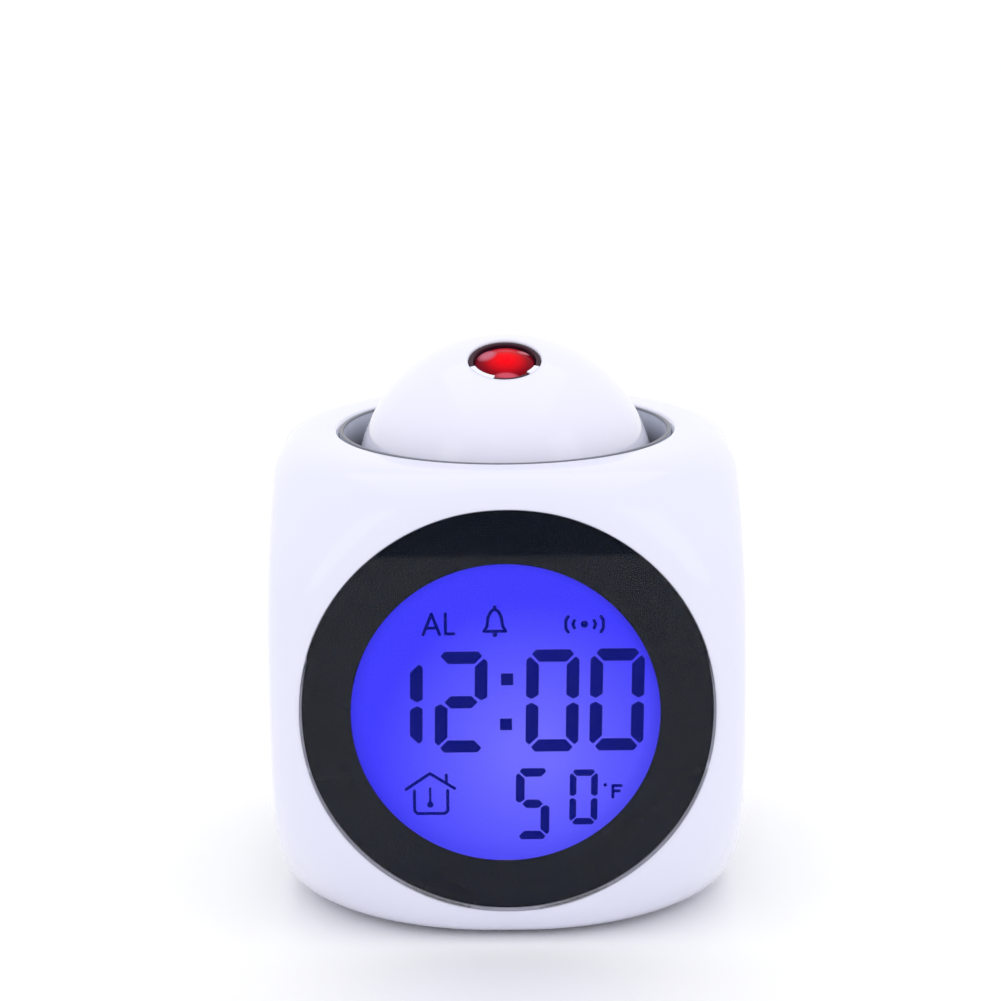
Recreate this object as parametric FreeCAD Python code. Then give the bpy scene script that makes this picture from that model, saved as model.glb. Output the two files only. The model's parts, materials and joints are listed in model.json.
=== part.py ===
import FreeCAD, Part
import math
import os

# Projection alarm clock: a dice-shaped case with a round display in front, a tilting projector ball
# in a well on top, a control panel behind and a battery tray below.
# Millimetres. X runs to the right seen from the front, Y runs to the back, Z runs up.
# The origin is on the resting plane, under the middle of the case.

os.makedirs("parts", exist_ok=True)
Vector = FreeCAD.Vector
ORIGIN = Vector(0, 0, 0)
X_AXIS = Vector(1, 0, 0)
Y_AXIS = Vector(0, 1, 0)
Z_AXIS = Vector(0, 0, 1)

# Case
body_width = 82.0
body_depth = 82.0
body_height = 82.0
body_edge_radius = 8.0
corner_trim = 14.0        # how far the ball cuts back a full corner
corner_blend_radius = 4.0
wall = 2.0
lip_length = 1.2
lip_gap = 0.1

# Feet
foot_stand = 0.6
foot_radius = 3.4
foot_recess = 0.5
foot_gap = 0.1
foot_x = 20.5
foot_y = 25.5

# Window and display
window_margin = 5.5
window_thickness = 1.6
window_proud = 0.3
window_chamfer = 0.3
window_gap = 0.1
border_thickness = 0.2
border_band = 9.2
border_opening_shift = 0.35
ledge_band = 7.3
ledge_width = 10.0
ledge_thickness = 1.2
lcd_margin = 8.5
lcd_corner_reach = 1.5
lcd_thickness = 2.0
backlight_thickness = 1.8
backlight_band = 2.8
strip_height = 2.0
strip_gap = 0.5
strip_inset = 3.5
frame_wall = 3.1
frame_gap = 0.1
frame_corner_wall = 1.6
frame_ear_x = 14.0
frame_ear_rise = 5.2
frame_ear_width = 7.0
frame_ear_margin = 0.6
frame_ear_thickness = 1.5
display_post_radius = 2.2
display_post_gap = 0.1
main_board_margin = 2.0
main_board_thickness = 1.0

# What sits on the main board
chip_radius = 6.5
chip_shoulder_radius = 5.0
chip_shoulder_height = 1.2
chip_top_radius = 3.0
chip_height = 1.7
chip_drop = 13.0
crystal_radius = 1.0
crystal_length = 6.0
crystal_x = 12.0
crystal_drop = 16.0
capacitor_radius = 2.5
capacitor_height = 5.0
capacitor_x = [-14.0, -7.0]
capacitor_above_screw = 8.2
sensor_radius = 1.3
sensor_height = 3.0
sensor_x = 20.0
sensor_drop = 26.0

# Projector well
ball_rim_gap = 2.85
well_rim_drop = 0.8
well_rim_gap = 0.1
well_edge_bevel = 0.6
collar_wall = 0.8
collar_taper = 0.9
collar_depth = 6.4
collar_flange = 2.45
collar_flange_thickness = 1.5
cup_wall = 1.4
cup_skirt_depth = 17.4
cup_floor_radius = 16.5
cup_floor_thickness = 1.5
cup_ear_reach = 2.2
cup_ear_thickness = 1.5
cup_ear_drop = 14.8
cup_ear_half = 13.5
shelf_thickness = 1.5

# Cradle under the ball
ball_radius = 26.9
ball_centre_drop = 10.1
ball_gap = 0.6
cradle_gap = 0.4
cradle_stop_gap = 0.3
cradle_ring_height = 8.1
strap_width = 10.0
strap_wall = 1.6
strap_join = 1.0
pad_radius = 9.6
pad_thickness = 1.6
key_rib_width = 3.0
key_rib_height = 6.0
key_rib_foot = 0.5
key_rib_gap = 0.3
dome_travel = 1.2

# Switch and spring under the cradle
press_switch_width = 7.0
press_switch_height = 3.4
press_stem_radius = 1.6
press_stem_length = 2.8
touch_gap = 0.3
running_gap = 0.05
spring_length = 5.1
spring_radius = 7.6
spring_wire_radius = 0.45

# Projector ball
ball_wall = 1.8
hollow_steps = [0, 24, 48, 72]    # degrees up from the seam
lens_tilt = 21.0
lens_opening_radius = 6.4
lens_radius = 5.2
lens_dome = 1.3
lens_back_drop = 4.4
lens_shoulder_drop = 0.7
bezel_drop = 0.5
bezel_depth = 3.2
bezel_bevel = 0.3
bezel_tab_width = 2.0
bezel_tab_reach = 0.7
bezel_tab_angle = 38.0
bezel_tab_gap = 0.1
lens_seat_depth = 5.0
lens_seat_wall = 1.6
barrel_wall = 1.2
barrel_bottom = 11.0
chamber_radius = 12.4
chamber_wall = 1.4
chamber_bottom = -1.0
film_width = 12.0
film_height = 10.0
film_thickness = 1.4
light_gate_radius = 4.4
lamp_radius = 2.5
lamp_flange = 0.4
lamp_height = 6.3
lamp_dome = 2.3
projector_board_thickness = 1.2
pin_radius = 2.0
pin_sink = 1.6
pin_boss_radius = 4.2
pin_boss_depth = 5.0
pin_boss_skin = 0.2
pin_end_gap = 0.3
press_gap = 0.02          # round a screw, pin or lens that is pressed in
join = 0.2                # how far pieces of one solid run into each other

# Control panel
panel_radius = 31.0
panel_thickness = 1.4
panel_recess = 0.5
panel_gap = 0.1
panel_ledge_overlap = 2.4
panel_ledge_width = 4.9
panel_ledge_thickness = 1.5
key_radius = 3.3
key_chamfer = 0.4
key_proud = 0.8
key_gap = 0.3
key_flange = 0.7
key_flange_thickness = 0.8
key_stem_radius = 1.4
key_stem_length = 0.3
key_travel = 0.8
key_pitch = 11.0
key_row_height = 15.0
key_names = ["mode_key", "set_key", "up_key", "down_key"]
tact_width = 6.0
tact_height = 3.1
tact_button_radius = 1.7
tact_button_height = 0.5
key_board_side = 2.2
key_board_above = 0.3
key_board_below = 1.6
key_board_gap = 0.6
key_board_thickness = 1.0
board_post_beside = 5.3
board_post_below = 6.5
board_post_radius = 1.9
slider_drop = 9.4
slider_travel = 3.0
slider_knob_length = 4.0
slider_knob_width = 2.8
slider_knob_proud = 0.7
slider_flange_length = 12.0
slider_flange_width = 4.4
slider_stem_length = 2.6
slider_stem_width = 1.5
slide_switch_length = 10.0
slide_switch_width = 4.4
slide_switch_height = 3.6

# Speaker
speaker_radius = 14.0
speaker_edge_gap = 2.3
speaker_rim_width = 1.6
speaker_rim_thickness = 1.4
speaker_depth = 3.9
speaker_skin = 0.6
magnet_radius = 7.0
magnet_height = 3.2
magnet_margin = 1.0
cone_thickness = 0.4
cone_cap_radius = 4.0
cone_lift = 0.6
grille_margin = 3.0
grille_slot_width = 1.6
grille_pitch = 4.0
grille_slots = 5

# Battery tray
cell_radius = 5.25
cell_length = 44.5
cell_nub_radius = 1.9
cell_nub_length = 1.0
cell_pitch = 11.0
cell_count = 3
cell_spare = 0.5
cell_gap = 0.3
cell_end_gap = 0.1
contact_thickness = 0.5
contact_width = 8.0
contact_height = 8.0
contact_spring_length = 4.0
contact_spring_radius = 3.2
contact_spring_tip = 1.8
tray_wall = 1.4
tray_roof = 1.4
tray_side_gap = 0.2
tray_flange = 2.0
tray_flange_thickness = 1.2
tray_rib_width = 1.2
tray_rib_depth = 2.6
opening_gap = 0.15
door_thickness = 1.6
door_gap = 0.2
door_pin_radius = 0.55
door_pin_length = 1.0
door_notch_radius = 5.0
door_notch_depth = 0.9

# Screws
case_screw_inset = 7.0
case_screw_below_cup = 11.6
case_screw_sink = 20.0
case_post_radius = 2.9
case_rib_thickness = 1.6
case_screw_seat = 4.0
case_screw_head_radius = 2.2
case_screw_head_height = 1.6
case_screw_radius = 1.1
case_screw_reach = 8.0
case_screw_hole_gap = 0.2
board_screw_radius = 0.9
board_screw_head_radius = 1.8
board_screw_head_height = 1.1
board_screw_reach = 2.6
pilot_spare = 0.4

# Planes and heights that follow from the sizes above
half_width = body_width / 2
half_depth = body_depth / 2
half_height = body_height / 2
base_z = foot_stand
centre_z = base_z + half_height
top_z = base_z + body_height
front_y = -half_depth
rear_y = half_depth
body_centre = Vector(0, 0, centre_z)
far = 2 * (body_width + body_depth + body_height)
full_corner = math.sqrt(half_width ** 2 + half_depth ** 2 + half_height ** 2)
corner_sphere_radius = full_corner - corner_trim
face_half = min(half_width, half_height)
case_screw_x = face_half - case_screw_inset

window_radius = face_half - window_margin
border_opening_radius = window_radius - border_band
ledge_opening_radius = window_radius - ledge_band
lcd_half = window_radius - lcd_margin
lcd_corner_radius = window_radius + lcd_corner_reach
backlight_half_height = lcd_half - backlight_band
strip_half_length = lcd_half - strip_inset
frame_corner_radius = lcd_corner_radius + frame_corner_wall
main_board_half = lcd_half + main_board_margin
window_front_y = front_y - window_proud
window_back_y = window_front_y + window_thickness
border_back_y = window_back_y + border_thickness
ledge_back_y = border_back_y + ledge_thickness
lcd_back_y = ledge_back_y + lcd_thickness
backlight_back_y = lcd_back_y + backlight_thickness
main_board_back_y = backlight_back_y + main_board_thickness
frame_half = lcd_half + frame_gap + frame_wall
frame_ear_z = lcd_half + frame_ear_rise
frame_ear_half = board_screw_head_radius + frame_ear_margin

well_rim_radius = ball_radius + ball_rim_gap
well_top_z = top_z - well_rim_drop
collar_bottom_z = well_top_z - collar_depth
collar_flange_z = top_z - wall
cup_top_z = collar_flange_z - collar_flange_thickness
cup_skirt_z = top_z - cup_skirt_depth
cup_ear_z = top_z - cup_ear_drop
cup_outer_radius = well_rim_radius + collar_flange
cup_inner_radius = cup_outer_radius - cup_wall
ball_z = top_z - ball_centre_drop
ball_centre = Vector(0, 0, ball_z)
bezel_top = math.sqrt(ball_radius ** 2 - lens_opening_radius ** 2) - bezel_drop
cradle_inner_radius = ball_radius + ball_gap
cradle_outer_radius = cup_inner_radius - cradle_gap
cradle_top_z = collar_bottom_z - cradle_stop_gap
cradle_ring_z = cradle_top_z - cradle_ring_height
pad_bottom_z = ball_z - cradle_inner_radius - strap_wall - touch_gap
cup_inner_floor_z = pad_bottom_z - spring_length
cup_floor_z = cup_inner_floor_z - cup_floor_thickness

panel_opening_radius = panel_radius - panel_ledge_overlap
key_z = centre_z + key_row_height
slider_z = key_z - slider_drop
board_post_x = key_pitch * (len(key_names) - 1) / 2 + board_post_beside
board_post_z = key_z - board_post_below
speaker_z = centre_z - (panel_opening_radius - speaker_radius - speaker_edge_gap)
grille_radius = speaker_radius - grille_margin
panel_face_y = rear_y - panel_recess
panel_back_y = panel_face_y - panel_thickness
panel_ledge_y = panel_back_y - panel_ledge_thickness
key_flange_y = panel_back_y - key_gap
key_back_y = key_flange_y - key_flange_thickness
key_stem_y = key_back_y - key_stem_length
tact_top_y = key_stem_y - key_travel - touch_gap
key_board_face_y = tact_top_y - tact_button_height - tact_height
key_board_back_y = key_board_face_y - key_board_thickness

cell_floor_z = base_z + door_thickness + cell_gap
cell_z = cell_floor_z + cell_radius
tray_half_x = (cell_length + contact_spring_length + 2 * contact_thickness + cell_spare) / 2
tray_half_y = cell_pitch * cell_count / 2 + tray_side_gap
tray_top_z = cell_z + cell_radius + cell_gap
tray_outer_x = tray_half_x + tray_wall
tray_outer_y = tray_half_y + tray_wall
door_pin_y = tray_half_y - door_gap - door_thickness / 2
door_pin_z = base_z + door_thickness / 2


def box(x_range, y_range, z_range):
    """Return a box between the two ends of each range."""
    size = [high - low for low, high in (x_range, y_range, z_range)]
    return Part.makeBox(*size, Vector(x_range[0], y_range[0], z_range[0]))


def even_box(half_x, half_z, y_range, centre):
    """Return a box that is even about a point in X and Z."""
    x_range = (centre[0] - half_x, centre[0] + half_x)
    z_range = (centre[1] - half_z, centre[1] + half_z)
    return box(x_range, y_range, z_range)


def disc_y(radius, y_range, x=0.0, z=0.0):
    """Return a round bar along Y."""
    return Part.makeCylinder(radius, y_range[1] - y_range[0], Vector(x, y_range[0], z), Y_AXIS)


def disc_z(radius, z_range, x=0.0, y=0.0):
    """Return a round bar along Z."""
    return Part.makeCylinder(radius, z_range[1] - z_range[0], Vector(x, y, z_range[0]), Z_AXIS)


def turned(profile):
    """Return the solid that a closed profile of (radius, height) points sweeps round Z."""
    points = [Vector(radius, 0, height) for radius, height in profile]
    outline = Part.makePolygon(points + points[:1])
    return Part.Face(outline).revolve(ORIGIN, Z_AXIS, 360)


def turned_y(profile, z):
    """Return the same round an axis along Y at height z, with heights measured along Y."""
    solid = turned(profile)
    solid.rotate(ORIGIN, X_AXIS, -90)
    solid.translate(Vector(0, 0, z))
    return solid


def fused(shapes):
    """Return one solid made of overlapping shapes."""
    return shapes[0].multiFuse(shapes[1:]).removeSplitter()


def save(node, *solids):
    """Write one node, one solid or a group of separate ones."""
    shape = solids[0] if len(solids) == 1 else Part.makeCompound(list(solids))
    shape.exportStep("parts/" + node + ".step")


def case_form(inset, blend):
    """Return the case's outer form, or the same form moved inwards: a box with rounded edges whose
    corners a ball trims, and a soft blend where the ball meets the flat faces."""
    half_x = half_width - inset
    half_y = half_depth - inset
    half_z = half_height - inset
    form = box((-half_x, half_x), (-half_y, half_y), (centre_z - half_z, centre_z + half_z))
    form = form.makeFillet(max(body_edge_radius - inset, 1.0), form.Edges)
    ball = Part.makeSphere(corner_sphere_radius - inset, body_centre)
    form = form.common(ball)
    if blend == 0:
        return form
    trimmed_edges = [edge for edge in form.Edges if lies_on_ball(edge, corner_sphere_radius - inset)]
    return form.makeFillet(blend, trimmed_edges)


def lies_on_ball(edge, radius):
    """Tell whether an edge runs on the ball that trims the corners."""
    middle = edge.valueAt((edge.FirstParameter + edge.LastParameter) / 2)
    ends = [edge.valueAt(edge.FirstParameter), middle]
    return all(abs(point.distanceToPoint(body_centre) - radius) < 0.001 for point in ends)


def mid_section(inset, y_range):
    """Return the case's rounded square section near mid depth, moved inwards, as a bar along Y."""
    bar = even_box(half_width - inset, half_height - inset, y_range, (0, centre_z))
    long_edges = [edge for edge in bar.Edges if edge.BoundBox.YLength > wall / 2]
    return bar.makeFillet(body_edge_radius - inset, long_edges)


def case_post(x, z, y_range, rib_range):
    """Return a screw post along Y with a rib that ties it to the side wall."""
    post = disc_y(case_post_radius, y_range, x, z)
    side = 1 if x > 0 else -1
    rib_ends = sorted((x + side * case_post_radius / 2, side * (half_width - wall / 2)))
    rib = box(rib_ends, rib_range, (z - case_rib_thickness / 2, z + case_rib_thickness / 2))
    return post.fuse(rib)


def case_screw_places():
    """Return the X and Z of the four case screws."""
    heights = (cup_skirt_z - case_screw_below_cup, centre_z - case_screw_sink)
    return [(side * case_screw_x, height) for height in heights for side in (-1, 1)]


def screw(x, z, seat_y, tip_y, head_y, radii):
    """Return a plain screw along Y from its tip to the far side of its head."""
    head = disc_y(radii[1], sorted((seat_y, head_y)), x, z)
    shank = disc_y(radii[0], sorted((tip_y, (seat_y + head_y) / 2)), x, z)
    return head.fuse(shank).removeSplitter()


def display_screw_places():
    """Return the X and Z of the four display screws."""
    heights = (centre_z + frame_ear_z, centre_z - frame_ear_z)
    return [(side * frame_ear_x, height) for height in heights for side in (-1, 1)]


def foot_places():
    """Return the X and Y of the four feet."""
    return [(x, y) for x in (-foot_x, foot_x) for y in (-foot_y, foot_y)]


def shelf(side, y_range):
    """Return the ledge on a side wall that the well cup's ear rests on."""
    x_range = sorted((side * (cup_outer_radius + cradle_gap), side * (half_width - wall / 2)))
    return box(x_range, y_range, (cup_ear_z - shelf_thickness, cup_ear_z))


def case_shells():
    """Make the front and rear shells, which meet at mid depth with a lip."""
    outer = case_form(0, corner_blend_radius)
    inner = case_form(wall, 0)
    hollow = outer.cut(inner)

    # openings that both shells share: the well on top, the battery tray and the feet below
    well_edge = turned([(0, well_top_z), (well_rim_radius + well_rim_gap, well_top_z),
                        (well_rim_radius + well_rim_gap + well_edge_bevel, top_z), (0, top_z)])
    well_hole = disc_z(well_rim_radius + well_rim_gap, (top_z - 2 * wall, well_top_z + wall / 2))
    tray_hole = box((-tray_outer_x - opening_gap, tray_outer_x + opening_gap),
                    (-tray_outer_y - opening_gap, tray_outer_y + opening_gap),
                    (base_z - wall, base_z + 2 * wall))
    foot_holes = [disc_z(foot_radius + foot_gap, (base_z - wall, base_z + foot_recess), x, y)
                  for x, y in foot_places()]
    hollow = hollow.cut([well_edge, well_hole, tray_hole] + foot_holes)

    # front half: window seat, display posts, screw posts and shelves
    front_space = box((-far, far), (-far, 0), (-far, far))
    ledge_outer = ledge_opening_radius + ledge_width
    front = hollow.common(front_space)
    groove = mid_section(wall / 2 - lip_gap / 2, (-lip_length - lip_gap, wall))
    front = front.cut(groove)
    additions = [disc_y(ledge_outer, (border_back_y, ledge_back_y), 0, centre_z)]
    post_range = (border_back_y, backlight_back_y - frame_ear_thickness)
    additions += [disc_y(display_post_radius, post_range, x, z) for x, z in display_screw_places()]
    additions += [case_post(x, z, (border_back_y, 0), (border_back_y, -lip_length - 2 * lip_gap))
                  for x, z in case_screw_places()]
    additions += [shelf(side, (-cup_ear_half, -lip_length - 2 * lip_gap)) for side in (-1, 1)]
    front = fused([front] + [piece.common(outer) for piece in additions])
    seat = disc_y(window_radius + window_gap, (front_y - wall, border_back_y), 0, centre_z)
    view = disc_y(ledge_opening_radius, (front_y - wall, ledge_back_y + wall), 0, centre_z)
    pilots = [disc_y(case_screw_radius + press_gap, (-case_screw_reach - pilot_spare, wall), x, z)
              for x, z in case_screw_places()]
    pilot_range = (backlight_back_y - board_screw_reach - pilot_spare, backlight_back_y)
    pilots += [disc_y(board_screw_radius + press_gap, pilot_range, x, z) for x, z in display_screw_places()]
    front = front.cut([seat, view, finger_notch()] + pilots)

    # rear half: panel seat, screw wells, shelves and the lip that enters the front half
    rear_space = box((-far, far), (0, far), (-far, far))
    rear = hollow.common(rear_space)
    lip = mid_section(wall / 2 + lip_gap / 2, (-lip_length, wall))
    lip = lip.cut(mid_section(wall, (-2 * lip_length, 2 * wall)))
    lip = lip.cut([well_edge, well_hole, tray_hole])
    panel_ledge = disc_y(panel_opening_radius + panel_ledge_width, (panel_ledge_y, panel_back_y),
                         0, centre_z)
    additions = [panel_ledge]
    additions += [case_post(x, z, (0, rear_y), (0, rear_y)) for x, z in case_screw_places()]
    additions += [shelf(side, (lip_gap, cup_ear_half)) for side in (-1, 1)]
    rear = fused([rear, lip] + [piece.common(outer) for piece in additions])
    seat = disc_y(panel_radius + panel_gap, (panel_back_y, rear_y + wall), 0, centre_z)
    mouth = disc_y(panel_opening_radius, (panel_ledge_y - wall, rear_y + wall), 0, centre_z)
    well_radius = case_screw_head_radius + case_screw_hole_gap
    wells = [disc_y(well_radius, (case_screw_seat, rear_y + wall), x, z) for x, z in case_screw_places()]
    shanks = [disc_y(case_screw_radius + case_screw_hole_gap, (-wall, case_screw_seat), x, z)
              for x, z in case_screw_places()]
    rear = rear.cut([seat, mouth] + wells + shanks)
    save("front_shell", front)
    save("rear_shell", rear)


def feet():
    """Make the four soft feet, each let into a shallow round recess."""
    save("rubber_feet", *[disc_z(foot_radius, (0, base_z + foot_recess), x, y) for x, y in foot_places()])


def window():
    """Make the clear front window and the black border printed on its back."""
    lens = disc_y(window_radius, (window_front_y, window_back_y), 0, centre_z)
    rim = [edge for edge in lens.Edges if abs(edge.BoundBox.YMax - window_front_y) < 0.01]
    save("display_window", lens.makeChamfer(window_chamfer, rim))
    border = disc_y(window_radius - window_chamfer, (window_back_y, border_back_y), 0, centre_z)
    opening = disc_y(border_opening_radius, (window_back_y - wall, border_back_y + wall),
                     -border_opening_shift, centre_z - border_opening_shift)
    save("window_border", border.cut(opening))


def display():
    """Make the liquid crystal panel, its light, its frame, its contact strips and the main board."""
    middle = (0, centre_z)
    plate = even_box(lcd_half, lcd_half, (ledge_back_y, lcd_back_y), middle)
    plate = plate.common(disc_y(lcd_corner_radius, (ledge_back_y, lcd_back_y), 0, centre_z))
    save("lcd_panel", plate)
    light = even_box(lcd_half, backlight_half_height, (lcd_back_y, backlight_back_y), middle)
    light = light.common(disc_y(lcd_corner_radius, (lcd_back_y, backlight_back_y), 0, centre_z))
    save("backlight", light)
    strip_low = backlight_half_height + strip_gap
    strips = [box((-strip_half_length, strip_half_length), (lcd_back_y, backlight_back_y),
                  sorted((centre_z + side * strip_low, centre_z + side * (strip_low + strip_height))))
              for side in (-1, 1)]
    save("contact_strips", *strips)

    frame = even_box(frame_half, frame_half, (ledge_back_y, backlight_back_y), middle)
    frame = frame.common(disc_y(frame_corner_radius, (ledge_back_y, backlight_back_y), 0, centre_z))
    hollow = even_box(lcd_half + frame_gap, lcd_half + frame_gap, (front_y, 0), middle)
    hollow = hollow.common(disc_y(lcd_corner_radius + frame_gap, (front_y, 0), 0, centre_z))
    ears = [even_box(frame_ear_width / 2, frame_ear_half,
                     (backlight_back_y - frame_ear_thickness, backlight_back_y), place)
            for place in display_screw_places()]
    ear_holes = [disc_y(board_screw_radius + press_gap, (front_y, 0), x, z)
                 for x, z in display_screw_places()]
    gap_range = (front_y, backlight_back_y - frame_ear_thickness)
    post_gaps = [disc_y(display_post_radius + display_post_gap, gap_range, x, z)
                 for x, z in display_screw_places()]
    frame = fused([frame.cut(hollow)] + ears).cut(ear_holes + post_gaps)
    save("lcd_frame", frame)

    board_top = frame_ear_z + frame_ear_half
    board = even_box(main_board_half, board_top, (backlight_back_y, main_board_back_y), middle)
    board = board.common(disc_y(frame_corner_radius - frame_gap, (front_y, 0), 0, centre_z))
    save("main_board", board.cut(ear_holes))
    save("display_screws", *[
        screw(x, z, main_board_back_y, backlight_back_y - board_screw_reach,
              main_board_back_y + board_screw_head_height, (board_screw_radius, board_screw_head_radius))
        for x, z in display_screw_places()])


def board_parts():
    """Make what sits on the main board: sealed chip, clock crystal, capacitors and heat sensor."""
    chip = turned_y([(0, 0), (chip_radius, 0), (chip_shoulder_radius, chip_shoulder_height),
                     (chip_top_radius, chip_height), (0, chip_height)], centre_z - chip_drop)
    chip.translate(Vector(0, main_board_back_y, 0))
    save("sealed_chip", chip)
    crystal_start = Vector(crystal_x, main_board_back_y + crystal_radius, centre_z - crystal_drop)
    save("clock_crystal", Part.makeCylinder(crystal_radius, crystal_length, crystal_start, X_AXIS))
    height_range = (main_board_back_y, main_board_back_y + capacitor_height)
    capacitor_z = centre_z - frame_ear_z + capacitor_above_screw
    save("capacitors", *[disc_y(capacitor_radius, height_range, x, capacitor_z) for x in capacitor_x])
    bead = turned([(0, 0), (sensor_radius, 0), (sensor_radius, 2 * sensor_height / 3), (0, sensor_height)])
    bead.translate(Vector(sensor_x, main_board_back_y + sensor_radius, centre_z - sensor_drop))
    save("heat_sensor", bead)


def well():
    """Make the collar round the ball and the cup that holds the ball's cradle."""
    collar_inner_top = well_rim_radius - collar_wall
    collar_inner_bottom = collar_inner_top - collar_taper
    save("well_collar", turned([
        (well_rim_radius, well_top_z),
        (well_rim_radius, collar_flange_z),
        (cup_outer_radius, collar_flange_z),
        (cup_outer_radius, cup_top_z),
        (cup_inner_radius, cup_top_z),
        (collar_inner_bottom + collar_wall, collar_bottom_z),
        (collar_inner_bottom, collar_bottom_z),
        (collar_inner_top, well_top_z)]))

    cup = turned([
        (cup_outer_radius, cup_top_z),
        (cup_outer_radius, cup_skirt_z),
        (cup_floor_radius, cup_floor_z),
        (0, cup_floor_z),
        (0, cup_inner_floor_z),
        (cup_floor_radius - cup_wall, cup_inner_floor_z),
        (cup_inner_radius, cup_skirt_z),
        (cup_inner_radius, cup_top_z)])
    ear_ring = disc_z(cup_outer_radius + cup_ear_reach, (cup_ear_z, cup_ear_z + cup_ear_thickness))
    ear_ring = ear_ring.cut(disc_z(cup_inner_radius + cup_wall / 2, (base_z, top_z)))
    ears = ear_ring.common(box((-far, far), (-cup_ear_half, cup_ear_half), (base_z, top_z)))
    slots = [key_rib(side, key_rib_gap, cup_wall) for side in (-1, 1)]
    save("projector_cup", cup.fuse(ears).removeSplitter().cut(slots))


def key_rib(side, gap, extra):
    """Return the rib that keeps the cradle from turning, or with a gap the slot it slides in."""
    start = cradle_outer_radius - key_rib_foot
    reach = (cup_inner_radius + cup_outer_radius) / 2 + extra
    y_range = sorted((side * start, side * reach))
    low = cradle_ring_z + key_rib_foot
    high = low + key_rib_height
    if gap:
        low -= dome_travel + 2 * gap
        high = cup_top_z + wall
    return box((-key_rib_width / 2 - gap, key_rib_width / 2 + gap), y_range, (low, high))


def cradle():
    """Make the sprung cradle: a ring with two crossed straps and a pad under the ball."""
    ring = disc_z(cradle_outer_radius, (cradle_ring_z, cradle_top_z))
    ring = ring.cut(disc_z(cradle_inner_radius, (base_z, top_z)))
    outer = cradle_inner_radius + strap_wall
    half = strap_width / 2
    below = box((-far, far), (-far, far), (base_z, cradle_ring_z + strap_join))
    straps = []
    for axis, start in ((Y_AXIS, Vector(0, -half, ball_z)), (X_AXIS, Vector(-half, 0, ball_z))):
        band = Part.makeCylinder(outer, strap_width, start, axis)
        band = band.cut(Part.makeCylinder(cradle_inner_radius, strap_width, start, axis))
        straps.append(band.common(below))
    pad = disc_z(pad_radius, (pad_bottom_z, pad_bottom_z + pad_thickness))
    ribs = [key_rib(side, 0, 0) for side in (-1, 1)]
    body = fused([ring] + straps + [pad] + ribs)
    bore = Part.makeCylinder(pin_radius + running_gap, far, Vector(-far / 2, 0, ball_z), X_AXIS)
    save("ball_cradle", body.cut(bore))


def press_switch():
    """Make the switch under the cradle and its stem, which moves with the cradle."""
    switch_top_z = cup_inner_floor_z + press_switch_height
    stem_top_z = pad_bottom_z - touch_gap
    stem_low_z = stem_top_z - press_stem_length
    half = press_switch_width / 2
    body = box((-half, half), (-half, half), (cup_inner_floor_z, switch_top_z))
    bore_low_z = stem_low_z - dome_travel - touch_gap
    save("press_switch", body.cut(disc_z(press_stem_radius + running_gap, (bore_low_z, switch_top_z))))
    save("press_switch_stem", disc_z(press_stem_radius, (stem_low_z, stem_top_z)))


def cradle_spring():
    """Make the spring that lifts the cradle, as the tube of space that its coils fill."""
    tube = disc_z(spring_radius + spring_wire_radius, (cup_inner_floor_z, pad_bottom_z))
    bore = disc_z(spring_radius - spring_wire_radius, (base_z, top_z))
    save("cradle_spring", tube.cut(bore))


def placed_in_ball(shape):
    """Tilt a piece made with its lens axis upright at the origin, and move it to the ball's centre."""
    shape.rotate(ORIGIN, X_AXIS, lens_tilt)
    shape.translate(ball_centre)
    return shape


def bezel_tab(side, reach, gap, top):
    """Return a tab that holds the bezel in the ball, or with a gap the notch it enters."""
    half = bezel_tab_width / 2 + gap
    tab = box(reach, (-half, half), (bezel_top - bezel_depth / 2 - gap, top))
    tab.rotate(ORIGIN, Z_AXIS, -90 + side * (90 - bezel_tab_angle))
    return tab


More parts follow.
